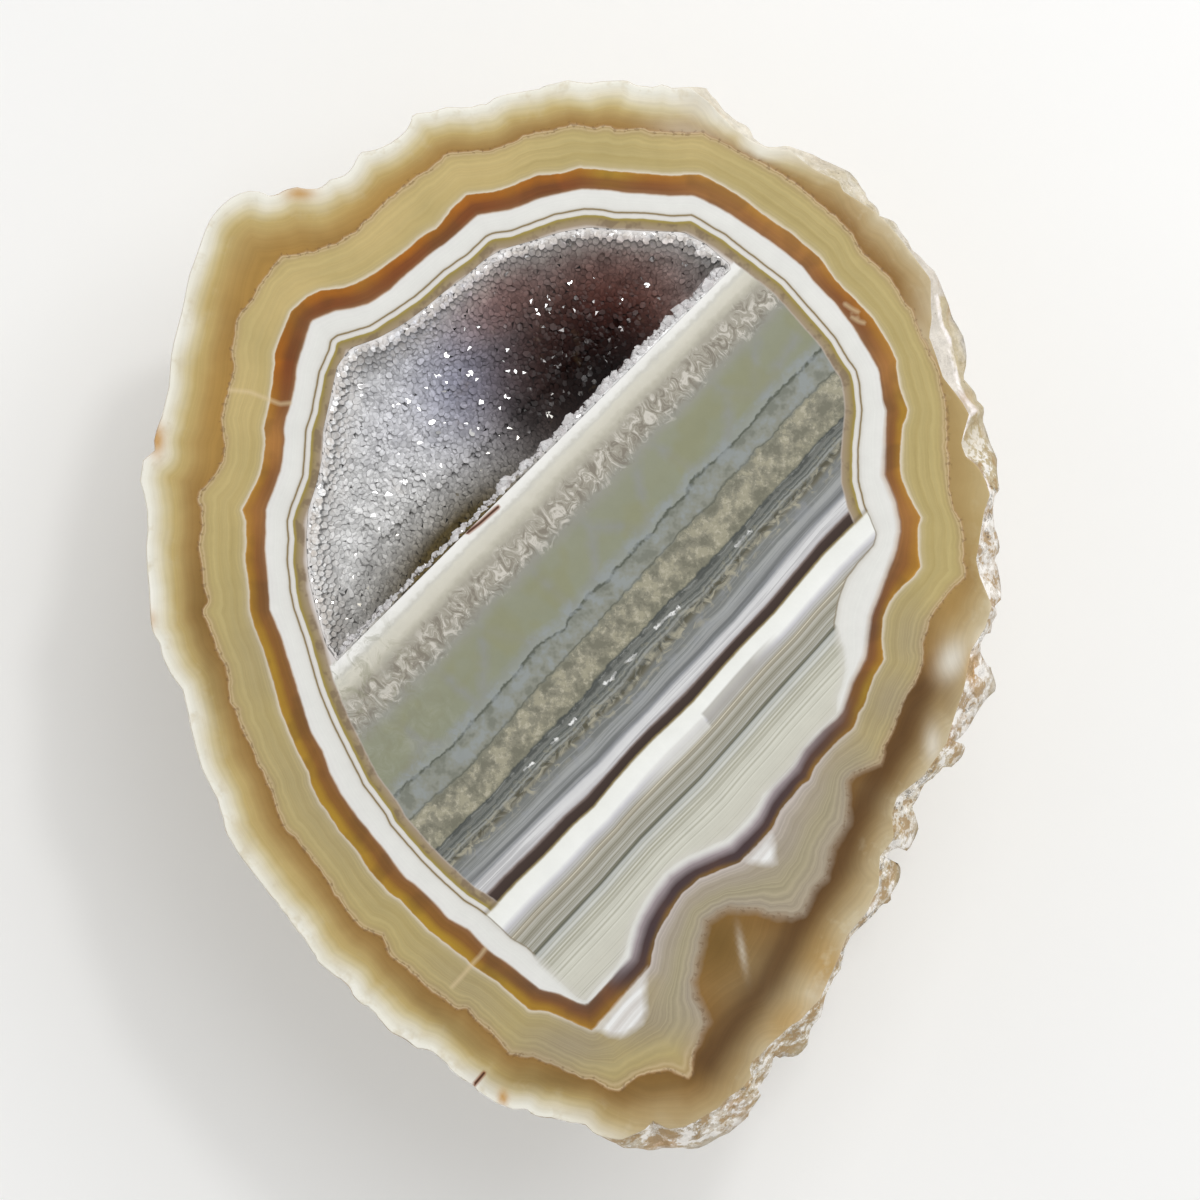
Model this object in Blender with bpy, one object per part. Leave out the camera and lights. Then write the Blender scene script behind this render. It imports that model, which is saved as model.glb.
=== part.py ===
"""The polished half of an agate nodule, with the quartz crust that lines its hollow.

It lies on its rind with the polished face up. +Z is the normal of that face and +Y runs along its length.
The outlines are in millimetres, seen from above the face.
"""

import math
import random

import bmesh
import bpy
from mathutils import Vector, noise

MM = 0.001

# The nodule
DEPTH = 40.0  # from the flat underside to the polished face
UNDERSIDE = 0.40  # the underside's radius, as a share of the rim's
FULLNESS = 2.1  # how long the sides stay wide before they curve in
ROUNDNESS = 0.6  # how smoothly they meet the underside
RIND_LEVELS = 14
LEVEL_CROWDING = 1.25  # above 1, the levels stand closer under the rim
ROUNDING_ANGLE = 0.12  # radians over which the chipped rim is averaged into the rind's rounder outline
ROUNDING_LEVELS = 3  # levels below the rim over which that happens
LUMP_SIZE = 14.0
LUMP_HEIGHT = 3.4
KNOB_SIZE = 7.5
KNOB_HEIGHT = 1.3
EDGE_WEAR = 0.25  # the polished edge stands this far inside the rim
EDGE_DROP = 0.8  # and the rim this far below it
CHIP_STEEPNESS = 1.1  # extra drop for each millimetre of bare rind outside the edge
CHIP_MIDDLE = (0.55, 0.45)  # how far out and how far down a chip's middle is, as shares

# The hollow and its crust
HOLLOW_DEPTH = 15.0
HOLLOW_POINTS = 60
HOLLOW_LEVELS = 7
HOLLOW_FLOOR = 0.05  # width of the floor, as a share of the mouth's
HOLLOW_FULLNESS = 0.8  # below 1, the hollow's sides are steeper
CUTTER_RISE = 5.0
SPINE = (Vector((-20.0, 6.5)), Vector((6.0, 30.5)))  # the deepest line, near the straight side
FIT_GAP = 0.35
CRUST_THICKNESS = 1.1
CRUST_DROP = 0.25  # the crust's cut edge below the polished face
CRYSTAL_HEIGHT = (0.6, 1.5)
POINT_HEIGHT = (1.0, 1.9)  # the larger points in the top row of the straight side
CRYSTAL_JITTER = 0.45
CRYSTAL_AIM = 0.35  # the depth that the crystals point at, as a share of the hollow's
CRYSTAL_REACH = 0.3  # a crystal takes up no more than this share of the way there
POINT_ROW = 4.0  # the straight side's crystals start within this distance of it
CRYSTAL_SEED = 7
SHARP_ANGLE = 35.0  # degrees; edges of the stone that turn more than this stay sharp

# The widest outline of the nodule, clockwise from the left.
RIM = [
    (-42.4, 3.0), (-42.5, 6.0), (-42.4, 10.0), (-43.1, 13.0), (-42.8, 15.0), (-41.6, 16.0),
    (-40.9, 19.5), (-40.1, 24.0), (-39.3, 28.5), (-38.7, 31.0), (-37.3, 36.0), (-36.0, 39.3),
    (-34.0, 41.3), (-32.2, 42.0), (-30.2, 41.5), (-27.4, 42.4), (-24.7, 42.5), (-22.4, 43.7),
    (-21.0, 45.9), (-19.0, 46.3), (-17.0, 47.5), (-15.8, 49.6), (-13.0, 50.2), (-9.0, 50.7),
    (-7.6, 51.3), (-4.0, 52.1), (-0.2, 53.1), (5.7, 53.1), (8.4, 52.4), (13.5, 52.5),
    (15.1, 50.6), (17.8, 48.6), (19.4, 46.5), (22.0, 46.5), (25.2, 45.3), (28.2, 44.0),
    (29.7, 41.9), (31.0, 39.8), (32.7, 38.9), (34.3, 36.1), (36.6, 34.0), (38.1, 30.8),
    (39.9, 26.8), (39.5, 23.3), (41.5, 20.6), (41.6, 19.1), (42.7, 16.0), (43.1, 12.0),
    (42.5, 10.0), (43.3, 6.0), (42.7, 5.2), (43.3, 2.5), (42.5, 0.3), (42.9, -0.3),
    (42.2, -2.4), (41.3, -3.2), (41.6, -4.9), (42.4, -6.2), (43.0, -8.0), (41.2, -10.0),
    (39.9, -12.1), (38.8, -13.2), (39.8, -13.9), (39.3, -15.0), (38.2, -15.9), (37.2, -16.2),
    (35.3, -18.0), (34.4, -19.9), (35.1, -22.0), (34.2, -24.0), (32.9, -24.2), (31.8, -24.9),
    (32.5, -25.7), (33.3, -26.5), (32.2, -28.8), (31.8, -29.6), (30.3, -30.8), (28.6, -32.3),
    (27.5, -34.5), (26.2, -37.5), (25.3, -40.0), (24.1, -42.3), (23.9, -44.0), (22.5, -45.1),
    (20.6, -44.8), (20.2, -46.3), (19.4, -47.5), (19.1, -48.9), (18.0, -51.0), (16.0, -52.8),
    (13.9, -53.9), (11.5, -54.3), (8.0, -54.5), (5.4, -54.0), (3.0, -52.7), (0.9, -51.6),
    (-2.0, -50.9), (-4.1, -50.3), (-5.7, -50.1), (-8.3, -48.9), (-9.7, -47.7), (-12.2, -46.0),
    (-13.4, -44.6), (-15.2, -44.0), (-17.8, -42.4), (-19.4, -40.7), (-21.8, -38.6), (-24.4, -36.1),
    (-26.0, -34.0), (-27.6, -31.9), (-30.0, -28.8), (-31.3, -27.0), (-33.6, -24.0), (-34.8, -21.6),
    (-35.4, -19.0), (-37.5, -14.0), (-38.5, -10.0), (-39.2, -7.5), (-40.1, -6.4), (-40.9, -4.6),
    (-41.6, -2.7), (-42.1, 0.0),
]

# The polished face's own edge where chips and bare rind lie outside it, from the top clockwise to the bottom.
CHIPPED_EDGE = [
    (12.0, 52.1), (14.0, 50.6), (16.5, 47.9), (20.0, 46.0), (22.0, 45.9), (24.4, 43.9),
    (26.8, 42.6), (28.0, 41.4), (31.0, 39.3), (33.0, 37.0), (36.0, 33.0), (36.1, 29.0),
    (36.1, 26.5), (38.3, 21.8), (39.8, 19.5), (39.0, 16.5), (40.6, 14.4), (41.9, 11.5),
    (41.0, 8.0), (40.5, 5.0), (41.3, 2.3), (42.1, 0.4), (41.4, -1.8), (40.0, -4.0),
    (39.3, -7.8), (38.2, -11.0), (37.6, -13.2), (35.2, -16.6), (32.6, -18.6), (32.1, -20.4),
    (32.3, -22.8), (30.9, -24.6), (30.8, -27.5), (29.6, -30.2), (27.7, -32.4), (26.7, -34.9),
    (24.4, -39.2), (21.5, -41.8), (19.4, -43.9), (18.0, -46.3), (15.6, -48.8), (12.6, -51.0),
    (9.4, -51.9), (5.0, -53.1), (3.2, -52.6),
]

# The hollow's mouth. Its straight side runs from the last point back to the first.
HOLLOW_ARC = [
    (-23.3, -5.1), (-24.4, -3.6), (-25.4, 0.0), (-26.2, 3.5), (-26.4, 7.0), (-26.2, 10.0),
    (-25.3, 12.8), (-24.8, 15.3), (-24.7, 18.0), (-23.9, 21.6), (-23.3, 24.4), (-22.0, 26.2),
    (-19.2, 27.2), (-16.5, 28.7), (-14.4, 30.3), (-12.5, 31.9), (-10.3, 33.5), (-8.5, 35.1),
    (-6.8, 36.1), (-4.2, 36.8), (-1.0, 37.8), (2.0, 38.3), (6.0, 38.0), (11.4, 37.8),
    (13.6, 36.6), (16.3, 34.3),
]


def middle(points):
    """The centre of an outline's box."""
    across = [x for x, y in points]
    along = [y for x, y in points]
    return Vector(((min(across) + max(across)) / 2, (min(along) + max(along)) / 2))


CENTRE = middle(RIM)


def centred(points):
    return [Vector(point) - CENTRE for point in points]


def bearing(point):
    return math.atan2(point.y, point.x)


def edge_radius(edge, angle):
    """Where the ray at this angle crosses an open outline that goes clockwise, or None past its ends."""
    for first, second in zip(edge, edge[1:]):
        high, low = bearing(first), bearing(second)
        if low <= angle <= high:
            share = (high - angle) / max(high - low, 1e-6)
            return first.lerp(second, share).length
    return None


def lumps(place):
    """How far the rind stands in or out here, from large lumps with knobs on them."""
    broad = noise.noise(place / LUMP_SIZE) * LUMP_HEIGHT
    knobs = 0.5 - noise.voronoi(place / KNOB_SIZE)[0][0]
    return broad + knobs * 2 * KNOB_HEIGHT


def resampled(points, count):
    """The closed outline through these points, as evenly spaced points."""
    loop = points + points[:1]
    lengths = [(second - first).length for first, second in zip(loop, loop[1:])]
    step = sum(lengths) / count
    found, passed, wanted = [], 0.0, 0.0
    for first, second, length in zip(loop, loop[1:], lengths):
        while wanted < passed + length - 1e-6:
            found.append(first.lerp(second, (wanted - passed) / length))
            wanted += step
        passed += length
    return found[:count]


def rounded(points):
    """The outline with its notches averaged away, each point still on its own bearing."""
    found = []
    for point in points:
        weights = [math.exp(-((point.angle(other) / ROUNDING_ANGLE) ** 2)) for other in points]
        total = sum(weight * other.length for weight, other in zip(weights, points))
        found.append(point.normalized() * total / sum(weights))
    return found


def nodule_rings():
    """Rings of points from the polished edge, out over the chipped rim, then in and down to the underside."""
    edge = centred(CHIPPED_EDGE)
    face, chip, rim = [], [], []
    for point in centred(RIM):
        out = point.normalized()
        crossing = edge_radius(edge, bearing(point))
        inside = min(crossing or point.length, point.length - EDGE_WEAR)
        width = point.length - inside
        drop = EDGE_DROP + CHIP_STEEPNESS * width
        between = inside + width * CHIP_MIDDLE[0]
        face.append((out * inside).to_3d() + Vector((0, 0, DEPTH)))
        chip.append((out * between).to_3d() + Vector((0, 0, DEPTH - drop * CHIP_MIDDLE[1])))
        rim.append(point.to_3d() + Vector((0, 0, DEPTH - drop)))
    round_rim = rounded([point.to_2d() for point in rim])
    rings = [face, chip, rim]
    for level in range(1, RIND_LEVELS + 1):
        share = level / RIND_LEVELS
        down = math.sin(share * math.pi / 2) ** LEVEL_CROWDING
        spread = UNDERSIDE + (1 - UNDERSIDE) * (1 - down**FULLNESS) ** ROUNDNESS
        calm = min(level / ROUNDING_LEVELS, 1.0)
        ring = []
        for chipped, smooth in zip(rim, round_rim):
            outline = chipped.to_2d().lerp(smooth, calm)
            flat = outline * spread
            sunk = DEPTH - EDGE_DROP - chipped.z
            height = max((DEPTH - EDGE_DROP) * (1 - down) - sunk * (1 - calm), 0.0)
            out = (lumps(flat.to_3d() + Vector((0, 0, height))) - LUMP_HEIGHT / 2) * calm
            reach = min(flat.length + out, outline.length - EDGE_WEAR)
            ring.append((flat.normalized() * reach).to_3d() + Vector((0, 0, height)))
        rings.append(ring)
    return rings


def inset(points, distance):
    """A clockwise closed outline, moved in by this distance."""
    moved = []
    for index, point in enumerate(points):
        along = (points[(index + 1) % len(points)] - points[index - 1]).normalized()
        moved.append(point + Vector((along.y, -along.x)) * distance)
    return moved


def on_spine(point):
    """The nearest place on the hollow's deepest line."""
    start, end = (place - CENTRE for place in SPINE)
    along = end - start
    share = (point - start).dot(along) / along.length_squared
    return start + along * min(max(share, 0.0), 1.0)


def hollow_rings(distance, top):
    """Rings of the hollow's wall from its mouth to its floor, moved in by this distance."""
    mouth = inset(resampled(centred(HOLLOW_ARC), HOLLOW_POINTS), distance)
    rings = []
    for level in range(HOLLOW_LEVELS + 1):
        turn = level / HOLLOW_LEVELS * math.pi / 2
        width = HOLLOW_FLOOR + (1 - HOLLOW_FLOOR) * math.cos(turn) ** HOLLOW_FULLNESS
        height = top - (HOLLOW_DEPTH - distance - (DEPTH - top)) * math.sin(turn)
        rings.append([on_spine(p).lerp(p, width).to_3d() + Vector((0, 0, height)) for p in mouth])
    return rings


def new_object(name, bm, collection):
    """An object in metres from a bmesh in millimetres."""
    bmesh.ops.recalc_face_normals(bm, faces=bm.faces)
    bmesh.ops.scale(bm, vec=(MM, MM, MM), verts=bm.verts)
    mesh = bpy.data.meshes.new(name)
    bm.to_mesh(mesh)
    bm.free()
    made = bpy.data.objects.new(name, mesh)
    collection.objects.link(made)
    return made


def add_rings(bm, rings):
    """Vertices for each ring, with walls between neighbouring rings."""
    rows = [[bm.verts.new(point) for point in ring] for ring in rings]
    for upper, lower in zip(rows, rows[1:]):
        for index in range(len(upper)):
            following = (index + 1) % len(upper)
            bm.faces.new((upper[index], upper[following], lower[following], lower[index]))
    return rows


def lofted(name, rings, collection):
    """A closed solid through the rings, with a flat cap at each end."""
    bm = bmesh.new()
    rows = add_rings(bm, rings)
    bm.faces.new(rows[0])
    bm.faces.new(rows[-1])
    return new_object(name, bm, collection)


def make_nodule(parts, cutters):
    nodule = lofted("agate_nodule", nodule_rings(), parts)
    nodule.data.shade_smooth()
    nodule.data.set_sharp_from_angle(angle=math.radians(SHARP_ANGLE))
    wall = hollow_rings(0.0, DEPTH)
    above = [point + Vector((0, 0, CUTTER_RISE)) for point in wall[0]]
    cutter = lofted("hollow_cutter", [above] + wall, cutters)
    cutter.hide_render = True
    cutter.display_type = "WIRE"
    cut = nodule.modifiers.new("Hollow", "BOOLEAN")
    cut.operation = "DIFFERENCE"
    cut.solver = "EXACT"
    cut.object = cutter
    return nodule


def crystal_height(centre, in_top_row, chance):
    """How tall the crystal here stands: taller in the row of points along the straight side."""
    mouth = centred(HOLLOW_ARC)
    along = (mouth[0] - mouth[-1]).normalized()
    from_side = abs((centre.to_2d() - mouth[-1]).cross(along))
    tall = in_top_row and from_side < POINT_ROW
    return chance.uniform(*(POINT_HEIGHT if tall else CRYSTAL_HEIGHT))


def make_crust(parts):
    """A thin lining of the hollow, whose inner side is a field of flat-faced crystals."""
    chance = random.Random(CRYSTAL_SEED)
    top = DEPTH - CRUST_DROP
    bm = bmesh.new()
    outer = add_rings(bm, hollow_rings(FIT_GAP, top))
    lining = hollow_rings(FIT_GAP + CRUST_THICKNESS, top)
    for ring in lining[1:-1]:
        for point in ring:
            point += Vector([chance.uniform(-CRYSTAL_JITTER, CRYSTAL_JITTER) for _ in range(3)])
    inner = [[bm.verts.new(point) for point in ring] for ring in lining]
    for index in range(HOLLOW_POINTS):
        following = (index + 1) % HOLLOW_POINTS
        bm.faces.new((outer[0][index], outer[0][following], inner[0][following], inner[0][index]))
    bm.faces.new(outer[-1])
    bm.faces.new(inner[-1])
    for upper, lower in zip(inner, inner[1:]):
        for index in range(HOLLOW_POINTS):
            following = (index + 1) % HOLLOW_POINTS
            corners = [upper[index], upper[following], lower[following], lower[index]]
            centre = sum((corner.co for corner in corners), Vector()) / 4
            aim = on_spine(centre.to_2d()).to_3d()
            aim.z = top - HOLLOW_DEPTH * CRYSTAL_AIM
            height = crystal_height(centre, upper is inner[0], chance)
            height = min(height, (aim - centre).length * CRYSTAL_REACH)
            apex = bm.verts.new(centre + (aim - centre).normalized() * height)
            for first, second in zip(corners, corners[1:] + corners[:1]):
                bm.faces.new((first, second, apex))
    return new_object("druse_crust", bm, parts)


def set_material(made, name, colour, roughness, transmission):
    material = bpy.data.materials.new(name)
    material.use_nodes = True
    shader = material.node_tree.nodes["Principled BSDF"]
    shader.inputs["Base Color"].default_value = colour
    shader.inputs["Roughness"].default_value = roughness
    shader.inputs["Transmission Weight"].default_value = transmission
    made.data.materials.append(material)


def main():
    for old in list(bpy.data.objects):
        bpy.data.objects.remove(old)
    parts = bpy.data.collections.new("agate_nodule")
    cutters = bpy.data.collections.new("cutters")
    bpy.context.scene.collection.children.link(parts)
    bpy.context.scene.collection.children.link(cutters)
    nodule = make_nodule(parts, cutters)
    crust = make_crust(parts)
    set_material(nodule, "banded agate", (0.45, 0.32, 0.16, 1), 0.25, 0.0)
    set_material(crust, "druse quartz", (0.72, 0.72, 0.74, 1), 0.15, 0.3)


main()
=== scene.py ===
# %% [markdown]
# # Half of an agate nodule, cut and polished
# An agate grows as a knobbly stone inside a bubble of lava. This one was sawn in half and its cut face was
# polished. From the outside in, the face shows a pale translucent edge, a tan band of fine layers, an amber
# band, a white ring and a few hair-thin rings. Inside them lie flat grey layers, and a hollow lined with tiny
# quartz crystals.
#
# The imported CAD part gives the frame. Both of its solids are replaced here by finer meshes in the same place.

import math

import bpy
import numpy as np
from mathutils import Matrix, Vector, noise
from mathutils.geometry import delaunay_2d_cdt


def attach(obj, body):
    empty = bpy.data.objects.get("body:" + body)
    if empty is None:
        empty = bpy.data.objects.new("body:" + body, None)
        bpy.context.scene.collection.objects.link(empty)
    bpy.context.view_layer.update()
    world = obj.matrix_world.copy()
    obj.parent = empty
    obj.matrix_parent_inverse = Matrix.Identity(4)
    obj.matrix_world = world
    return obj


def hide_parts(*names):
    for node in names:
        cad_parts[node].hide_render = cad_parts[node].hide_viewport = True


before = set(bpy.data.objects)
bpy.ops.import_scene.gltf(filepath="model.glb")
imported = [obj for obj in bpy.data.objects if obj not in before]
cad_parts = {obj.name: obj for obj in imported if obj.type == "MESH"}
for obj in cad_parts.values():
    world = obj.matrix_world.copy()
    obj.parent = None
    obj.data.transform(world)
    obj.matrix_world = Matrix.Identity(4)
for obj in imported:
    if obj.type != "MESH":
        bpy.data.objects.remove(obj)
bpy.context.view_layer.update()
print("solids:", sorted(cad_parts))

# %% [markdown]
# ## Outlines
# Every band on the face has its own wandering outline, so each one is a list of points in millimetres, read
# with a ruler grid, clockwise from the left. A list like this is the simplest way to keep a natural shape:
# a formula could only give a smoother, duller one. CENTRE moves them all to the middle of the part.

# %% Outlines of the stone and of its bands
MM = 0.001
CENTRE = np.array((0.1, -0.7))


def placed(points):
    return np.array(points, float) - CENTRE


RIM = [
    (-42.4, 10), (-42.7, 11.5), (-43.1, 13), (-42.8, 15), (-41.6, 16), (-41.7, 17), (-41.4, 18.2),
    (-40.9, 19.5), (-40.6, 20.8), (-40.2, 22.5), (-40.1, 24), (-40, 25.5), (-39.7, 27), (-39.3, 28.5),
    (-38.9, 30), (-38.7, 31), (-38.2, 33.5), (-37.3, 36), (-36.6, 38), (-36, 39.3), (-35, 40.5),
    (-34, 41.3), (-33, 41.8), (-32.2, 42), (-31, 41.9), (-30.2, 41.5), (-29.4, 41.6), (-28.6, 42.1),
    (-27.4, 42.4), (-26.6, 42.2), (-25.4, 42.2), (-24.7, 42.5), (-24.1, 43.1), (-23, 43.4), (-22.4, 43.7),
    (-21.8, 44.4), (-21.4, 45.2), (-21, 45.9), (-20, 46), (-19, 46.3), (-18, 46.8), (-17, 47.5),
    (-16.4, 48.1), (-16, 48.8), (-15.8, 49.6), (-15.3, 49.8), (-14, 49.9), (-13, 50.2), (-12.4, 50.4),
    (-11, 50.35), (-9.9, 50.4), (-9, 50.7), (-8.3, 50.7), (-7.6, 51.3), (-6.4, 51.7), (-5, 51.9),
    (-4, 52.1), (-3.2, 52.2), (-2.4, 52.6), (-1.4, 52.8), (-0.2, 53.1), (0.8, 52.9), (2, 52.8), (3.2, 53),
    (5.7, 53.1), (6.5, 52.6), (8.4, 52.4), (9.3, 52.7), (10.2, 52.3), (11.6, 52.4), (13, 52.5),
    (13.7, 52.4), (14.1, 51.7), (14.6, 51.3), (15.1, 50.6), (15.4, 50.1), (16, 49.7), (16.5, 49.2),
    (17.8, 48.6), (18.1, 48.2), (18.4, 47.3), (19.4, 46.5), (20, 46.4), (21, 46.45), (21.8, 46.6),
    (22.6, 46.3), (23.5, 46.05), (24.6, 45.7), (25.2, 45.3), (26, 45), (27.3, 44.4), (28.2, 44),
    (28.9, 43.2), (29.2, 42.5), (29.7, 41.9), (29.8, 41.2), (30.5, 40.7), (31, 40.1), (31, 39.5),
    (32, 39.2), (32.7, 38.9), (33.1, 38), (33.9, 37), (34.3, 36.1), (35, 35.6), (35.8, 34.7), (36.6, 34),
    (37.2, 32.8), (37.6, 31.9), (38.1, 30.8), (38.5, 29.6), (39.2, 28.5), (39.7, 27.6), (39.9, 26.8),
    (40, 25.6), (39.9, 24.6), (39.5, 23.3), (40.3, 22.4), (40.8, 21.8), (40.9, 21), (41.5, 20.6),
    (41.7, 20.1), (41.5, 19.1), (42, 18), (42.3, 17), (42.7, 16), (43, 15.2), (42.9, 14), (43, 13),
    (43.15, 12.05), (42.6, 11.4), (42.5, 10.6), (42.45, 9.95), (42.6, 9), (42.7, 8.2), (43, 7.5),
    (43.2, 6.75), (43.3, 6.05), (43, 5.55), (42.65, 5.2), (42.75, 4.85), (43, 4.5), (43.15, 3.7),
    (43.3, 2.75), (43.35, 1.8), (43.3, 1), (42.75, 0.6), (42.5, 0.3), (42.9, -0.1), (42.85, -0.5),
    (42.35, -1.25), (42.3, -1.9), (42.2, -2.35), (41.55, -2.45), (41.4, -3), (41.2, -3.4), (41.2, -4.3),
    (41.55, -4.9), (41.95, -5.55), (42.35, -5.7), (42.45, -6.2), (42.8, -6.9), (42.95, -7.5), (43, -8),
    (42.85, -8.25), (42.35, -8.6), (41.95, -9), (41.5, -9.55), (41.15, -10.05), (40.8, -10.6),
    (40.5, -11.1), (40.2, -11.7), (39.85, -12.1), (39.5, -12.55), (39, -13), (38.65, -13.15), (38.8, -13.4),
    (39.35, -13.35), (39.7, -13.6), (39.8, -13.95), (39.55, -14.55), (39.35, -15), (38.9, -15.3),
    (38.5, -15.75), (38.15, -15.9), (37.7, -15.7), (37.45, -15.8), (37.25, -16.15), (36.85, -16.4),
    (36.45, -16.9), (35.7, -17.3), (35.25, -18.05), (35.1, -18.7), (34.75, -19.25), (34.35, -19.9),
    (34.7, -20.45), (34.85, -21), (35.05, -21.5), (35.15, -22.05), (34.85, -22.85), (34.45, -23.5),
    (34.2, -23.95), (33.8, -24.3), (33.4, -24.05), (32.85, -23.85), (32.3, -24.05), (31.9, -24.45),
    (31.7, -24.9), (32.1, -25.3), (32.45, -25.7), (32.85, -25.4), (33.15, -25.65), (33.35, -26.2),
    (33.25, -26.9), (32.9, -27.8), (32.45, -28.3), (32.2, -28.75), (32.3, -29.15), (31.8, -29.6),
    (31.25, -29.55), (31, -30), (30.6, -30.45), (30.3, -30.75), (28.6, -32.3), (28, -32.9), (27.55, -34),
    (27.4, -34.85), (27.15, -36.1), (26.45, -36.9), (26, -37.9), (25.55, -38.85), (25.4, -39.8),
    (25.25, -40.9), (24.2, -42), (24, -43), (23.95, -43.8), (23.5, -44.45), (22.85, -45), (22.05, -45.1),
    (21.8, -44.85), (21.1, -45.1), (20.5, -44.75), (20.35, -45.25), (20.3, -46.05), (20.05, -46.6),
    (19.8, -47), (19.5, -47.25), (19.4, -47.7), (18.9, -48.1), (18.85, -48.5), (19.25, -48.9),
    (18.9, -49.4), (18.45, -50.05), (18.1, -50.5), (17.95, -51.15), (17.4, -51.65), (16.6, -52.3),
    (16, -52.8), (15.2, -53.1), (14.5, -53.5), (13.9, -53.9), (12.9, -54.3), (12, -54.35), (11.2, -54.15),
    (10, -54.2), (9.4, -54.2), (8.9, -54.45), (8, -54.5), (7.2, -54.2), (6.2, -54.1), (5.4, -54.05),
    (4.6, -53.5), (4, -53.25), (3, -52.7), (2.4, -52.5), (2, -52.05), (1.45, -51.55), (0.95, -51.5),
    (0, -51.4), (-1, -51.15), (-1.8, -50.9), (-2.6, -50.9), (-3.5, -50.7), (-4.1, -50.35), (-4.35, -50),
    (-5, -50.05), (-5.7, -50.1), (-6.45, -49.8), (-7.3, -49.5), (-8.35, -48.85), (-9.3, -48.2),
    (-9.7, -47.65), (-10.6, -47.15), (-11.4, -46.6), (-12.1, -46), (-12.3, -45.55), (-12.75, -45.15),
    (-13.4, -44.6), (-14.05, -44.15), (-14.75, -44), (-15.2, -44.05), (-15.7, -43.7), (-16.35, -43.15),
    (-17.1, -42.75), (-17.8, -42.45), (-18.35, -41.95), (-18.85, -41.3), (-19.3, -40.85), (-19.5, -40.45),
    (-20, -40.05), (-20.3, -39.7), (-20.85, -39.6), (-21.3, -39.15), (-21.8, -38.6), (-22, -38),
    (-22.35, -37.55), (-23, -37), (-23.5, -36.75), (-24.35, -36.05), (-25.35, -35.25), (-25.55, -34.6),
    (-26.05, -34), (-26.75, -32.75), (-27.55, -32.05), (-27.65, -31.55), (-28.05, -31.4), (-28.2, -30.85),
    (-29, -30), (-29.4, -29.3), (-30, -28.7), (-30.5, -28), (-31.3, -27), (-32.05, -26), (-32.85, -25),
    (-33.55, -24), (-33.9, -23.3), (-34.4, -22.5), (-34.7, -21.6), (-34.75, -21), (-35.1, -20),
    (-35.35, -19), (-35.9, -18), (-36.9, -16), (-37.5, -14), (-38, -12), (-38.4, -10), (-38.85, -8),
    (-40, -6.5), (-40.2, -6.1), (-40.55, -5.4), (-40.9, -4.6), (-41.15, -3.3), (-41.6, -2.7), (-41.9, -2),
    (-42.05, -1), (-42.1, 0), (-42.2, 2), (-42.4, 4), (-42.5, 6), (-42.5, 6.6), (-42.35, 8),
]

POLISHED_EDGE = [
    (12, 52.1), (14, 50.6), (15, 49.4), (16.5, 47.9), (18, 46.9), (20, 46), (22, 45.9), (23.2, 44.8),
    (24.4, 43.9), (26.8, 42.8), (27.2, 41.8), (29.4, 40.4), (31, 39.35), (33, 37), (34.5, 35), (36, 33),
    (36, 30.5), (36.1, 29), (35.8, 27.3), (36.4, 25.7), (37.2, 23.2), (38.3, 21.8), (39.2, 20.6),
    (39.8, 19.5), (39.3, 17.8), (39, 16.5), (39.5, 15.3), (40.6, 14.4), (41.3, 13.3), (41.9, 11.5),
    (41.3, 9.8), (41, 8), (40.5, 5), (40.85, 3.4), (41.3, 2.3), (42.1, 0.4), (41.4, -1.8), (40, -4),
    (39.3, -7.8), (38.2, -11), (37.6, -13.2), (35.2, -16.6), (32.6, -18.6), (32.1, -20.4), (32.3, -22.8),
    (30.9, -24.6), (30.8, -27.5), (29.6, -30.2), (27.7, -32.4), (26.7, -34.9), (24.9, -38.9), (23.8, -40),
    (23, -40.9), (21.9, -41.55), (21.1, -42.35), (20.3, -43), (19.65, -43.65), (19, -44.4), (18.2, -45),
    (17.9, -45.7), (18.1, -46.5), (17.4, -47.5), (16.6, -48.1), (15.65, -48.75), (14.85, -49.7),
    (13.9, -50.2), (12.6, -51), (11.3, -51.65), (9.7, -51.8), (8.3, -51), (7.4, -51.9), (5.1, -52.9),
    (3.2, -52.6),
]

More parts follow.
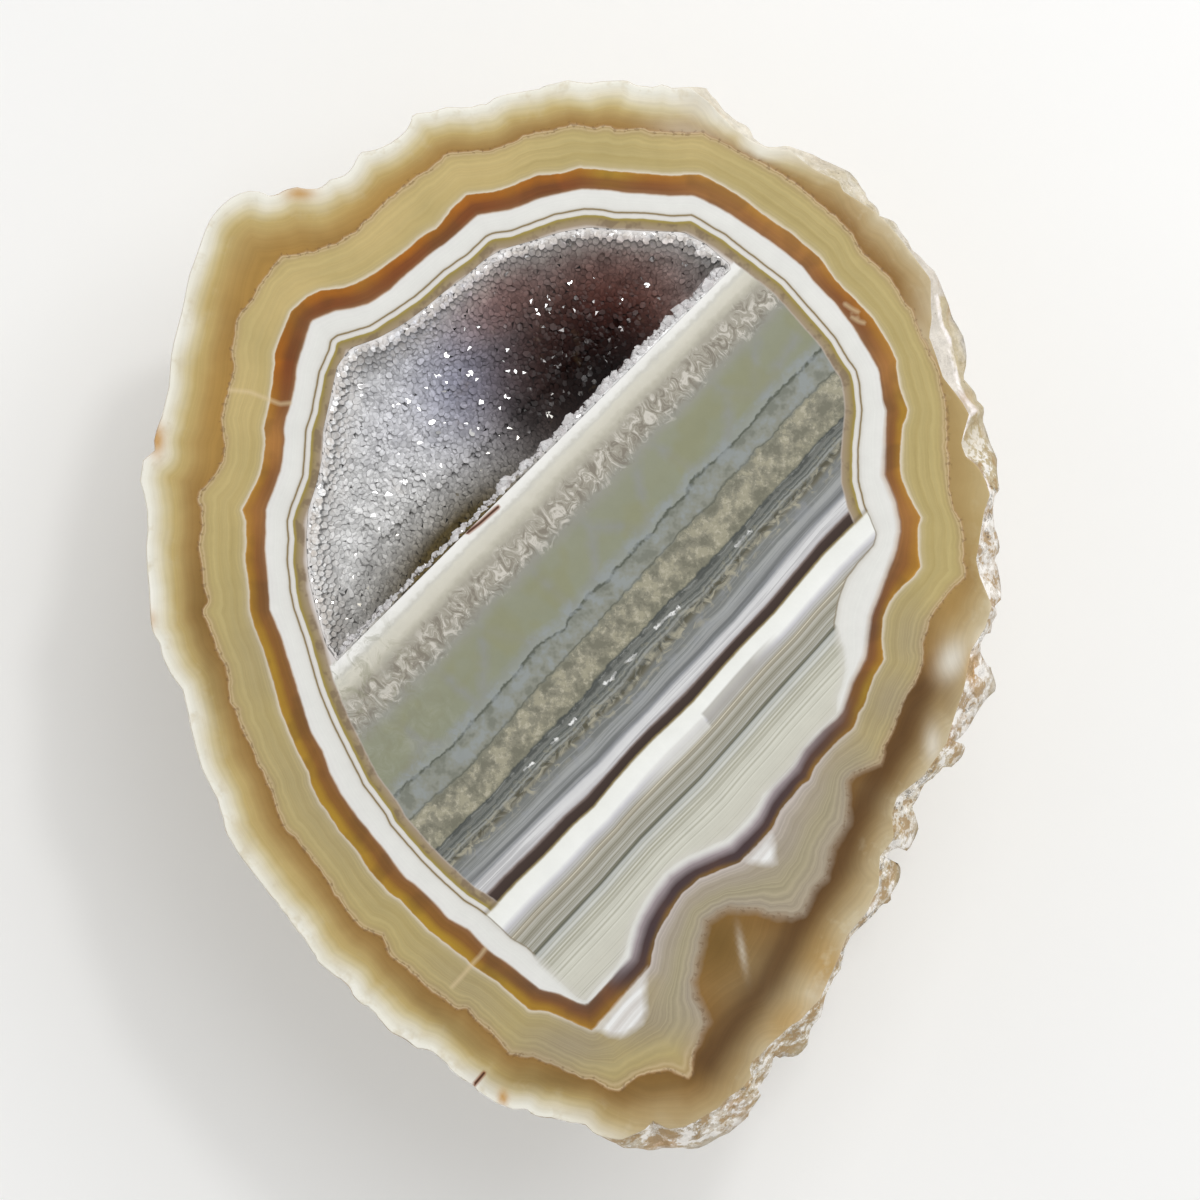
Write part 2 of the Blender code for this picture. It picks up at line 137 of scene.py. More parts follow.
TAN_EDGE = [
    (-36.9, 10.2), (-37.2, 11), (-37.2, 11.9), (-35.3, 13.8), (-34.8, 15), (-34.6, 16.5), (-34.7, 18),
    (-35, 19.3), (-34.2, 21.8), (-33.7, 24.5), (-33.8, 26), (-33.4, 28.8), (-33, 30), (-32.2, 30.7),
    (-31.5, 31.8), (-31, 33), (-28.6, 35.6), (-27.4, 35.6), (-26.4, 36), (-25.6, 35.9), (-23, 36.8),
    (-21, 38.3), (-18.4, 41.2), (-15.4, 43.5), (-14.2, 44), (-12.8, 45.4), (-12, 45.8), (-8.6, 45.9),
    (-7, 46.3), (-5.4, 47), (-4.6, 47.6), (-2, 47.9), (0.2, 48.7), (2, 48.4), (4, 48.5), (4.8, 48.1),
    (6.4, 48.4), (8, 48), (10, 47.8), (13.4, 47.8), (18.4, 45.3), (22.6, 42.8), (24, 41.7), (28.2, 37.8),
    (29.4, 35.8), (31.6, 33.6), (33.4, 31), (34.2, 30.2), (34.8, 28.5), (36.3, 25.5), (36.8, 24),
    (37.6, 20), (37.7, 16.2), (38.1, 12.05), (38.6, 10), (39.1, 9), (39.3, 8.05), (39.4, 5), (39.65, 3.25),
    (37.95, 1.95), (36.2, -0.6), (35.9, -1.25), (35.5, -3), (35.4, -3.8), (35.5, -4.75), (35.1, -6.35),
    (34.05, -8), (33.15, -9.9), (32.45, -11.95), (31.65, -13.55), (31.1, -15.5), (30.3, -15.7),
    (28.35, -16.6), (27.9, -17.25), (27.8, -21.4), (27.25, -22.05), (26.3, -24), (25.65, -26.85),
    (24.5, -28), (23.25, -30.35), (22.05, -30.85), (19.8, -30.45), (18.5, -30.05), (15.95, -29.9),
    (14.7, -30.5), (13.7, -31.3), (12.5, -37.25), (12.6, -38.5), (13.9, -41.25), (12.5, -44.3),
    (12.3, -46.35), (11.95, -47), (10.05, -46.2), (8.9, -46.2), (7.8, -46.35), (6.7, -46.75), (4.9, -48.1),
    (3.95, -48.05), (2.2, -47), (0.9, -46.7), (-3.7, -44.6), (-5, -44.6), (-6, -44.4), (-6.75, -43.4),
    (-10.45, -39.9), (-11.4, -39.9), (-14.1, -38.1), (-16.2, -35.9), (-17.15, -35.25), (-17.95, -34.45),
    (-18.9, -32.7), (-20.85, -31.9), (-23.8, -27.9), (-25.1, -25.8), (-27.8, -22.45), (-28.7, -21.65),
    (-30.35, -16.85), (-31.3, -15.4), (-32.1, -13.3), (-33, -11.55), (-33.4, -10), (-33.9, -9.3),
    (-34.15, -7.2), (-34.55, -5.45), (-35.05, -4.65), (-36.15, -1.6), (-36.7, -0.65), (-36.8, 0.15),
    (-36.4, 0.8), (-36.8, 3), (-37.1, 6.7), (-36.9, 8),
]

AMBER_EDGE = [
    (-32.7, 10), (-31, 13.4), (-30.6, 15), (-30.4, 17.2), (-30.6, 18.2), (-30, 20.6), (-29.5, 24.5),
    (-29.5, 25.7), (-27.9, 29.8), (-26.2, 31.3), (-25, 31.9), (-22.6, 32.2), (-21.4, 32.6), (-19.4, 33.7),
    (-16, 36.2), (-14.7, 37.4), (-13.4, 38.1), (-12.6, 38.9), (-12, 39.9), (-10.3, 41.5), (-8, 41.75),
    (-6.4, 42.1), (-3.4, 43.4), (-1, 43.6), (1, 44.15), (10, 43.4), (12.9, 43.55), (15.2, 42.4),
    (17.6, 40.9), (19, 39.7), (22, 37.7), (24.9, 35.3), (26.4, 33.1), (30.2, 29.2), (31.6, 27), (32.6, 25),
    (32.6, 24), (33, 22), (33.7, 20), (33.6, 19.3), (33.2, 18.5), (32.95, 15.5), (33, 14), (33.15, 13),
    (34.05, 10.9), (35.1, 9.15), (34.85, 8.7), (34.75, 8.05), (34.75, 5.95), (35, 4.3), (34.45, 3.5),
    (32.35, 1.5), (31.55, 0.05), (31.25, -0.75), (31.1, -3), (31.35, -4.9), (30.3, -6.7), (29.3, -9.7),
    (28.85, -10.2), (28.35, -11.8), (26.9, -12.9), (25.95, -13.9), (24.5, -15.65), (23.9, -17),
    (23.25, -17.4), (21, -20.1), (20.2, -21.9), (17.1, -25.15), (12.9, -26.9), (11.15, -28.35),
    (8.9, -32.05), (8.5, -33), (7.95, -35.7), (2.2, -42.05), (-2.1, -40.1), (-4.05, -39.95), (-7.1, -37.25),
    (-9.5, -35.7), (-10.3, -34.9), (-14.05, -32.05), (-17, -28.9), (-18.1, -28.2), (-20.05, -25.95),
    (-21.25, -24.05), (-23, -22.1), (-24.3, -20.05), (-24.9, -19.4), (-25.9, -17.3), (-26.05, -16.2),
    (-27.1, -14.3), (-28.9, -10), (-30.25, -4.95), (-31.75, -1), (-32, 0), (-32, 2), (-32.45, 5.1),
    (-32.25, 7.05), (-32.4, 8), (-32.3, 8.8),
]

WHITE_EDGE = [
    (-30.4, 10), (-28.9, 14), (-28.5, 17), (-28.6, 18), (-28.4, 19.2), (-27.9, 20.6), (-27.4, 23),
    (-27.3, 24.4), (-25.9, 28.9), (-23.5, 29.9), (-21.5, 30.2), (-20, 30.7), (-19.2, 31.2), (-18, 32),
    (-16, 33.9), (-13.6, 35.9), (-12.4, 36.7), (-9.2, 39.5), (-6, 40), (-2.6, 41.3), (1.2, 42.1), (3.8, 42),
    (5.2, 41.75), (10, 41.4), (12.2, 41.45), (13.2, 41.1), (16, 39.6), (20.4, 36.6), (23.2, 34.4),
    (24.4, 32.8), (26.4, 30.8), (28.2, 28.5), (30.9, 24), (31.3, 21), (31.6, 20), (31.4, 13.5),
    (32.45, 10.9), (32.9, 8.85), (32.95, 7.9), (32.6, 6.1), (30.05, -0.75), (29.55, -4.75), (28.35, -7),
    (27.25, -10.05), (26.6, -10.9), (25.65, -11.65), (23.4, -13.9), (22.45, -15.65), (20.2, -18.05),
    (18.75, -20.75), (18.1, -21.55), (16.05, -23.5), (11.95, -25.3), (10.05, -26.6), (8.6, -28.5),
    (7.3, -30.6), (6.85, -31.7), (6.05, -34.85), (1.7, -39.5), (0.75, -39.25), (-1.15, -38.35),
    (-3, -37.95), (-6.45, -35.15), (-7.55, -34.5), (-8.5, -33.7), (-10.1, -31.95), (-12.2, -30.85),
    (-13.15, -29.65), (-15.4, -27.5), (-16.35, -26.85), (-17.15, -25.95), (-18.35, -24.2), (-21.25, -20.7),
    (-22.85, -18.45), (-23.95, -16.35), (-24.75, -14.1), (-25.9, -12.2), (-28.95, -2.4), (-30, 0),
    (-30.45, 6),
]

THREAD_EDGE = [
    (-28.1, 10), (-26.8, 13.5), (-26.5, 18), (-25.9, 19.9), (-25.2, 23.8), (-24.2, 26), (-24, 27),
    (-23.4, 27.5), (-20, 28.5), (-15.6, 31.4), (-12.6, 34.1), (-10.4, 35.6), (-8.4, 37.5), (-7.6, 37.8),
    (-6, 38), (-1.4, 39.7), (1.4, 40.2), (3.4, 40.1), (4.4, 39.85), (7.4, 39.8), (10.4, 39.5), (12.2, 39.6),
    (15.6, 37.6), (21.6, 33), (26.6, 27.3), (28, 24.9), (28.7, 24), (29, 22.8), (29.3, 20), (28.9, 16),
    (28.9, 13), (29.5, 10.6), (30.75, 7.7), (30.45, 6.45), (28.85, 4.7), (27.7, 3.1), (26.85, 0.85),
    (26.5, -1.4), (26.75, -3.15), (27.1, -3.8), (27.4, -5.9), (27.1, -7.5), (26.6, -8.6), (26.6, -10.35),
    (24.2, -12.6), (23.25, -13.7), (21.95, -15.8), (19.2, -18.4), (18.5, -19.8), (16.6, -22), (15.4, -22.9),
    (12, -24.4), (10.5, -25.3), (9.3, -26.3), (7.5, -28.8), (6.7, -30.2), (6.1, -31.5), (5.2, -34.6),
    (4.5, -35.6), (2.3, -38), (1.55, -39.1), (0.75, -38.7), (-4.35, -33.8), (-5.95, -32.85), (-8.7, -30.3),
    (-10.6, -29.15), (-13.15, -26.85), (-15.1, -24.9), (-18.05, -21.5), (-18.5, -20.5), (-20.75, -17.5),
    (-23.75, -11.5), (-24.55, -9.6), (-25.35, -7.5), (-26.55, -3.2), (-27.7, 0.15), (-28.1, 2),
    (-28.1, 3.05), (-28.4, 4.8), (-28.25, 7.05), (-28.4, 8.95),
]

HOLLOW_ARC = [
    (-23.3, -5.1), (-24.4, -3.6), (-25.4, 0.0), (-26.2, 3.5), (-26.4, 7.0), (-26.2, 10.0),
    (-25.3, 12.8), (-24.8, 15.3), (-24.7, 18.0), (-23.9, 21.6), (-23.3, 24.4), (-22.0, 26.2),
    (-19.2, 27.2), (-16.5, 28.7), (-14.4, 30.3), (-12.5, 31.9), (-10.3, 33.5), (-8.5, 35.1),
    (-6.8, 36.1), (-4.2, 36.8), (-1.0, 37.8), (2.0, 38.3), (6.0, 38.0), (11.4, 37.8),
    (13.6, 36.6), (16.3, 34.3),
]
SPINE = placed([(-20.0, 6.5), (6.0, 30.5)])  # the hollow's deepest line
print("points on the stone's outline:", len(RIM))

# %% [markdown]
# The flat layers inside the rings run slantwise, and not quite parallel. A few of their boundaries are read
# as lines too. Each gets a number, its place in the pile of layers, and every point of the face then finds
# its own number between its neighbours. The second number of a place runs along the layers.

# %% Boundaries of the flat layers
LAYER_LINES = {
    0.0: [(-16, -17), (-14, -15.4), (-11.8, -13.5), (-10, -11.3), (-8, -9.4), (-7, -8), (-6, -7),
          (-3, -3.3), (-2, -2.7), (-1.25, -2.3), (-0.45, -1.9), (-0.3, -1.1), (0.2, -0.3), (1.15, 0.35),
          (1.5, 1.15), (2.45, 1.95), (3.25, 2.6), (3.9, 2.9), (4.35, 3.9), (5.15, 4.7), (7, 6.8), (8, 7.6),
          (9.8, 10), (11.2, 11), (12.4, 13.2), (14, 14.6), (15.2, 15.6), (16.5, 17), (18.3, 18.9), (20, 21)],
    2.8: [(-15, -20), (-12.5, -17.8), (-10, -15.5), (-6, -11), (-3, -7.5), (-2, -6.5), (-0.9, -5.25),
          (0.85, -3.15), (2.3, -1.9), (3.9, 0), (5.5, 1.8), (6.95, 3.25), (8.05, 4.35), (8.7, 5), (11, 7.8),
          (12.5, 9.3), (14, 10.5), (15.5, 12.6), (17.5, 14.5), (18.5, 16), (20, 17), (21.5, 19)],
    6.6: [(-10.5, -21), (-8, -18.7), (-5, -15.2), (-2, -12), (0.05, -10), (2, -7.8), (3.9, -5.4), (6, -3.3),
          (8.05, -1.1), (9.8, 0.85), (11.9, 2.6), (13.65, 4.5), (16, 7), (19, 10.4), (22, 13.6), (25, 17),
          (27, 19)],
    9.3: [(-10, -23.5), (-6, -19.7), (-4, -17.5), (-1.4, -14.7), (0.7, -12.8), (2.4, -11), (6, -7.8),
          (8.2, -4.9), (10.4, -2.7), (12.2, -0.3), (14, 1.2), (17, 5), (19.5, 8), (22, 10.4), (24.5, 13),
          (27, 16.2)],
    13.2: [(-7, -25.8), (-3, -21.8), (0.5, -18.5), (3.4, -15.8), (6, -12.9), (9.8, -8.9), (14, -4.6),
           (17, -1.4), (20, 2), (25, 8), (27.5, 10.6)],
    14.5: [(-8, -29.2), (-6, -27), (-3, -24.2), (0, -21), (2, -19.3), (4, -16.8), (6, -14.5), (8, -12.4),
           (10, -10.6), (12, -8.7), (15, -5.2), (17, -3), (20, 0), (22.5, 3), (25, 6), (28.2, 9.2)],
    21.0: [(-3.7, -34.6), (3, -27.4), (7, -22.85), (13, -16.8), (21, -7.8), (26.5, -1.7)],
}
CHORD_PLACE = -12.8  # where the flat layers end at the hollow's straight side
DIAGONAL = np.array((1.0, -1.0)) / math.sqrt(2)  # across the layers, away from the hollow
ALONG = np.array((1.0, 1.0)) / math.sqrt(2)
print("boundaries between layers:", len(LAYER_LINES))

# %% [markdown]
# Cracks, healed cracks and painted glints of reflected light are short open lines. They become thin lines of
# colour.

# %% Cracks and other fine lines
PALE_LINES = [
    [(-34, 22), (-32, 21.8), (-30, 21), (-29, 20.6), (-28, 20.7)],
    [(27.5, 30.6), (28.2, 30.1), (28.8, 29.8)],
    [(28.2, 29.3), (28.8, 28.9), (29.4, 28.7)],
    [(-8.5, -33.9), (-9, -34.6), (-9.6, -35.2), (-10.6, -36.4), (-11.8, -37.7)],
]
DARK_LINES = [
    [(-10.3, 7.7), (-9, 8.7), (-8, 9.6), (-7.2, 10.3)],
    [(-9.7, -47.6), (-9.1, -46.9), (-8.6, -46.3)],
]
# each chip ridge is a pale line with a painted highlight along it
CHIP_RIDGES = [
    [
        (36.8, 31.5), (37.2, 29), (38.1, 27.2), (38.3, 25.5), (38.8, 23.5), (39.2, 21.8), (40, 20.6),
        (40.7, 20), (40, 19.5), (39.3, 17.8), (38.7, 16), (39.5, 15.3), (40.5, 14.5), (41.3, 13.5),
        (42, 12),
    ],
    [(40.45, 4.7), (40.85, 3.4), (41.3, 2.3), (41.8, 1.15), (42.3, 0.35)],
]
DARK_BAND = [
    (35, -8), (33, -13), (30.4, -17.3), (28, -22), (27, -25), (23.6, -30), (20.1, -36.5), (16, -42),
    (13.7, -45),
]
# painted highlights: short glints of reflected light on the polished face
GLINT_LINES = [
    [(8.6, -1.8), (9.5, -0.9), (10.9, 0.3)],
    [(3.5, -7.4), (4.2, -6.8), (4.6, -6.2)],
    [(5.6, -5.3), (6.6, -4.4)],
    [(16.5, 6.3), (18, 7.9)],
    [(-1.8, -13.3), (-1.2, -12.8)],
    [(-4.6, -16), (-3.7, -15.3)],
    [(0, -11.4), (0.6, -10.9)],
]
print("cracks and glints:", len(PALE_LINES + DARK_LINES + GLINT_LINES))

# %% [markdown]
# ## The shape of the stone
# The stone could be sculpted by hand, but a script can't sculpt. Instead the outline is repeated as rings,
# like the courses of a basket: from the polished edge out over the chipped rim, then down and in to the
# flat patch that the stone lies on. Each ring keeps the outline's own wander near the rim and grows rounder
# below, and noise pushes lumps in and out. The sizes are those of the CAD solid, only with far more points.

# %% Small measuring helpers
def resampled(points, count, closed=True):
    """The line through these points, as evenly spaced points."""
    loop = np.vstack([points, points[:1]]) if closed else points
    passed = np.concatenate([[0], np.cumsum(np.hypot(*np.diff(loop, axis=0).T))])
    wanted = np.linspace(0, passed[-1], count, endpoint=not closed)
    return np.column_stack([np.interp(wanted, passed, axis) for axis in loop.T])


def line_distance(places, line):
    """The distance from each place to the nearest point of an open line."""
    best = np.full(len(places), 1e9)
    for start, end in zip(line[:-1], line[1:]):
        along = end - start
        share = np.clip((places - start) @ along / max(along @ along, 1e-12), 0, 1)
        best = np.minimum(best, np.hypot(*(places - start - share[:, None] * along).T))
    return best


def is_inside(places, outline):
    """Whether each place lies inside a closed outline."""
    x, y = places.T
    found = np.zeros(len(places), bool)
    for (x1, y1), (x2, y2) in zip(outline, np.roll(outline, -1, axis=0)):
        if y1 != y2:
            found ^= ((y1 > y) != (y2 > y)) & (x < (x2 - x1) * (y - y1) / (y2 - y1) + x1)
    return found


def depth_inside(places, outline):
    """The distance to a closed outline: above zero inside it, below zero outside."""
    away = line_distance(places, np.vstack([outline, outline[:1]]))
    return np.where(is_inside(places, outline), away, -away)


def ray_lengths(starts, ways, line, pick):
    """How far each ray goes before it meets the line. pick is np.fmax or np.fmin, where it meets it twice."""
    found = np.full(len(starts), np.nan)
    for first, second in zip(line[:-1], line[1:]):
        side = second - first
        cross = ways[:, 0] * side[1] - ways[:, 1] * side[0]
        cross = np.where(np.abs(cross) < 1e-12, 1e-12, cross)
        gap = first - starts
        length = (gap[:, 0] * side[1] - gap[:, 1] * side[0]) / cross
        share = (gap[:, 0] * ways[:, 1] - gap[:, 1] * ways[:, 0]) / cross
        hit = (length > 0) & (share >= 0) & (share <= 1)
        found = pick(found, np.where(hit, length, np.nan))
    return found


def noise_at(places, size, shift=0.0):
    """Soft noise, about -1 to 1, whose lumps are this size."""
    return np.array([noise.noise(Vector(place)) for place in places / size + shift])


def pebbles_at(places, size):
    """Rounded lumps side by side: 0.5 at the middle of each, and less between them."""
    return np.array([0.5 - noise.voronoi(Vector(place))[0][0] for place in places / size])


middle_depth = depth_inside(np.zeros((1, 2)), placed(RIM))[0]
print("the middle of the face lies", round(float(middle_depth), 1), "mm inside the rim")

# %% The hollow's wall, which both the stone and its crust follow
DEPTH = 40.0  # from the flat underside to the polished face
HOLLOW_DEPTH = 15.0
HOLLOW_FLOOR = 0.05
HOLLOW_FULLNESS = 0.8
WALL_LEVELS = 10
MOUTH_POINTS = 168


def spine_point(places):
    """The nearest place on the hollow's deepest line."""
    along = SPINE[1] - SPINE[0]
    share = np.clip((places - SPINE[0]) @ along / (along @ along), 0, 1)
    return SPINE[0] + share[:, None] * along


def wall_profile(reach, turn, inset, top):
    """How far out and how high the wall is, at a turn from 0 at the mouth to a right angle at the floor."""
    width = HOLLOW_FLOOR + (1 - HOLLOW_FLOOR) * np.cos(turn) ** HOLLOW_FULLNESS
    height = top - (HOLLOW_DEPTH - inset - (DEPTH - top)) * np.sin(turn)
    return reach * width, height + 0 * reach


def wall_rings(mouth, levels, inset, top):
    """Rings of points down the wall, this far in from the stone."""
    middle = spine_point(mouth)
    reach = np.hypot(*(mouth - middle).T)
    way = (mouth - middle) / reach[:, None]
    rings = []
    for turn in np.linspace(0, math.pi / 2, levels + 1):
        out, height = wall_profile(reach - inset, turn, inset, top)
        rings.append(np.column_stack([middle + way * out[:, None], height]))
    return rings


MOUTH = resampled(placed(HOLLOW_ARC), MOUTH_POINTS)
MOUTH_LINE = np.vstack([MOUTH, MOUTH[:1]])
print("the hollow's mouth spans", np.round(np.ptp(MOUTH, axis=0), 1), "mm")

# %% Rings of the rim and the rind
RIM_POINTS = 640
CHIP_RINGS = 7
RIND_RINGS = 58
CAD_LEVELS = 14  # the levels that the CAD solid has for the same depth
ROUNDING_LEVELS = 3
EDGE_WEAR = 0.25
EDGE_DROP = 0.8
CHIP_STEEPNESS = 1.1
ROUNDING_ANGLE = 0.12
SPREADING = 14  # points over which their spacing is evened out
UNDERSIDE = 0.40
FULLNESS = 2.1
ROUNDNESS = 0.6
LEVEL_CROWDING = 1.25
LUMP_SIZE, LUMP_HEIGHT = 14.0, 3.4
KNOB_SIZE, KNOB_HEIGHT = 7.5, 1.3
GRIT_SIZE, GRIT_HEIGHT = 2.3, 0.4
FINE_GRIT_SIZE, FINE_GRIT_HEIGHT = 0.9, 0.16
BEVEL = 0.12  # the worn edge of the polish
BEVEL_SHARE, BEVEL_SLOPE = 0.3, 0.7
CHIP_BEND = ([0, 0.55, 1], [0, 0.45, 1])  # how far out and how far down a chip's slope bends
CHIP_GRIT = ((1.7, 0.5), (0.7, 0.2))  # sizes and heights
FLAKE_SIZE, FLAKE_HEIGHT = 3.0, 0.9
CHIP_ROUGHNESS, ROUGH_WIDTH, HIGHEST = 0.3, 2.5, 0.8


def rounded(outline):
    """The outline with its notches averaged away, and its points spread evenly round it."""
    bearing = np.unwrap(np.arctan2(outline[:, 1], outline[:, 0]))
    whole_turn = np.sign(bearing[-1] - bearing[0]) * 2 * math.pi
    even = bearing[0] + whole_turn * np.arange(len(outline)) / len(outline)
    reach = 3 * SPREADING
    window = np.exp(-((np.arange(-reach, reach + 1) / SPREADING) ** 2))
    drift = np.convolve(np.pad(bearing - even, reach, mode="wrap"), window / window.sum(), "valid")
    turn = even + drift
    apart = np.abs((turn[:, None] - bearing + math.pi) % (2 * math.pi) - math.pi)
    weight = np.exp(-((apart / ROUNDING_ANGLE) ** 2))
    length = weight @ np.hypot(*outline.T) / weight.sum(1)
    return np.column_stack([np.cos(turn), np.sin(turn)]) * length[:, None]


def chipped_rings(rim):
    """Rings from the polished edge out to the rim, over the chips and the bare rind."""
    length = np.hypot(*rim.T)
    bearing = np.unwrap(np.arctan2(rim[:, 1], rim[:, 0]))
    turn = np.sort(bearing)[:: int(np.sign(bearing[-1] - bearing[0]))]  # a notch may lean back, but not this
    way = np.column_stack([np.cos(turn), np.sin(turn)])
    crossing = ray_lengths(np.zeros_like(rim), way, placed(POLISHED_EDGE), np.fmax)
    inside = np.fmin(crossing, length - EDGE_WEAR)
    width = length - inside
    drop = EDGE_DROP + CHIP_STEEPNESS * width
    polished = way * inside[:, None]
    rings = [np.column_stack([polished, np.full(len(rim), DEPTH)])]
    bevel = np.minimum(BEVEL, width * BEVEL_SHARE)
    rings.append(np.column_stack([way * (inside + bevel)[:, None], DEPTH - bevel * BEVEL_SLOPE]))
    for share in np.arange(1, CHIP_RINGS) / CHIP_RINGS:
        down = np.interp(share, *CHIP_BEND)
        place = np.column_stack([polished + (rim - polished) * share, DEPTH - drop * down])
        rough = sum(noise_at(place, size) * height for size, height in CHIP_GRIT)
        rough += pebbles_at(place, FLAKE_SIZE) * FLAKE_HEIGHT
        lift = rough * np.minimum(width, ROUGH_WIDTH) * CHIP_ROUGHNESS
        place[:, 2] += np.minimum(lift, drop * down * HIGHEST)
        rings.append(place)
    rings.append(np.column_stack([rim, DEPTH - drop]))
    return rings


def rind_rings(rim_ring):
    """Rings from the rim down to the flat underside."""
    rim = rim_ring[:, :2]
    length = np.hypot(*rim.T)
    smooth = rounded(rim)
    sunk = DEPTH - EDGE_DROP - rim_ring[:, 2]
    rings = []
    for share in np.arange(1, RIND_RINGS + 1) / RIND_RINGS:
        calm = min(share * CAD_LEVELS / ROUNDING_LEVELS, 1.0)
        down = math.sin(share * math.pi / 2) ** LEVEL_CROWDING
        spread = UNDERSIDE + (1 - UNDERSIDE) * max(1 - down**FULLNESS, 0) ** ROUNDNESS
        outline = rim + (smooth - rim) * calm
        height = np.maximum((DEPTH - EDGE_DROP) * (1 - down) - sunk * (1 - calm), 0)
        place = np.column_stack([outline * spread, height])
        lumps = noise_at(place, LUMP_SIZE) * LUMP_HEIGHT + pebbles_at(place, KNOB_SIZE) * 2 * KNOB_HEIGHT
        grit = noise_at(place, GRIT_SIZE) * GRIT_HEIGHT + noise_at(place, FINE_GRIT_SIZE) * FINE_GRIT_HEIGHT
        out = (lumps - LUMP_HEIGHT / 2) * calm + grit * min(4 * share, 1)
        flat = np.hypot(*place[:, :2].T)
        reach = np.minimum(flat + out, np.hypot(*outline.T) - EDGE_WEAR)
        place[:, :2] *= (reach / flat)[:, None]
        rings.append(place)
    return rings


rim_outline = resampled(placed(RIM), RIM_POINTS)
stone_rings = chipped_rings(rim_outline)
stone_rings += rind_rings(stone_rings[-1])
print(len(stone_rings), "rings of", RIM_POINTS, "points")

# %% [markdown]
# ## The polished face
# The face is flat, so it needs no points for its shape. It needs them for its pattern: each point will
# store how far it is from every band's outline, and Blender blends those numbers across each triangle.
# Because a distance changes evenly, the blend stays exact between points, and a band's edge comes out sharp
# at any size. An image texture would blur when seen close.

# %% Triangles of the polished face
FACE_PITCH = 0.41
KEEP_CLEAR = 0.16
LINE_PITCH, LINE_MARGIN = 0.3, 0.02
SLIVER = 0.001  # a triangle flatter than this lies on a straight stretch of the outline


def honeycomb(low, high, pitch):
    """Points in a honeycomb over a rectangle."""
    rows = np.arange(low[1], high[1], pitch * math.sqrt(3) / 2)
    columns = np.arange(low[0], high[0], pitch)
    x, y = np.meshgrid(columns, rows)
    x = x + (np.arange(len(rows)) % 2)[:, None] * pitch / 2
    return np.column_stack([x.ravel(), y.ravel()])


def triangulated(loops, lines, loose, inside):
    """Triangles over fixed loops, fixed open lines and loose points, where inside(middles) holds."""
    points, edges = [], []
    for number, line in enumerate(loops + lines):
        first, count = len(points), len(line)
        points += [Vector(point) for point in line]
        edges += [(first + i, first + i + 1) for i in range(count - 1)]
        if number < len(loops):
            edges.append((first + count - 1, first))
    points += [Vector(point) for point in loose]
    verts, _, faces, origin, _, _ = delaunay_2d_cdt(points, edges, [], 0, 1e-7, True)
    verts, faces = np.array(verts), np.array(faces)
    where = {old: new for new, olds in enumerate(origin) for old in olds}
    corners = verts[faces]
    kept = inside(corners.mean(axis=1))
    sides = np.roll(corners, -1, axis=1) - corners
    longest = np.hypot(sides[:, :, 0], sides[:, :, 1]).max(axis=1)
    area = np.abs(sides[:, 0, 0] * sides[:, 1, 1] - sides[:, 0, 1] * sides[:, 1, 0])
    for number in sorted(np.flatnonzero(area < SLIVER * longest), key=lambda number: -longest[number]):
        start = np.hypot(*sides[number].T).argmax()
        pair = faces[number][[start, (start + 1) % 3]]
        beside = [other for other in np.flatnonzero(np.isin(faces, pair).sum(axis=1) == 2) if other != number]
        kept[number] = any(kept[other] for other in beside)
    return verts, faces[kept], where


face_edge = stone_rings[0][:, :2]
fine_lines = []
for line in PALE_LINES + DARK_LINES + GLINT_LINES:
    length = np.hypot(*np.diff(placed(line), axis=0).T).sum()
    fine_lines.append(resampled(placed(line), max(int(length / LINE_PITCH), 2) + 1, closed=False))
loose = honeycomb(face_edge.min(0), face_edge.max(0), FACE_PITCH)
loose = loose[depth_inside(loose, face_edge) > KEEP_CLEAR]
loose = loose[depth_inside(loose, MOUTH) < -KEEP_CLEAR]
for line in fine_lines:
    loose = loose[line_distance(loose, line) > KEEP_CLEAR]
fine_lines = [
    line[(depth_inside(line, MOUTH) < -LINE_MARGIN) & (depth_inside(line, face_edge) > LINE_MARGIN)]
    for line in fine_lines
]
face_points, face_triangles, face_index = triangulated(
    [face_edge, MOUTH],
    [line for line in fine_lines if len(line) > 1],
    loose,
    lambda middles: is_inside(middles, face_edge) & ~is_inside(middles, MOUTH),
)
print(len(face_points), "points and", len(face_triangles), "triangles on the face")

# %% [markdown]
# ## One closed mesh
# The face, the rim, the rind, the underside and the hollow's wall are joined point by point, so that the
# stone is one closed skin. Each point carries its numbers as named attributes, which the material reads
# later.

# %% Join the stone's skin
def ring_quads(first, second):
    """Faces between two rings of point numbers."""
    return list(zip(first, np.roll(first, -1), np.roll(second, -1), second))


def object_of(name, points, faces):
    """An object at the origin, made from points in millimetres."""
    mesh = bpy.data.meshes.new(name)
    mesh.from_pydata((points * MM).tolist(), [], [[int(i) for i in face] for face in faces])
    mesh.update()
    piece = bpy.data.objects.new(name, mesh)
    bpy.context.scene.collection.objects.link(piece)
    return piece


def add_rings(points, faces, rings, start, inward=False):
    """Joins rings of points below a ring that is there already, and closes the last one with a flat face."""
    count = sum(len(block) for block in points)
    upper = start
    for ring in rings:
        lower = np.arange(count, count + len(ring))
        faces += ring_quads(lower, upper) if inward else ring_quads(upper, lower)
        points.append(ring)
        upper, count = lower, count + len(ring)
    faces.append(upper[::-1] if inward else upper)


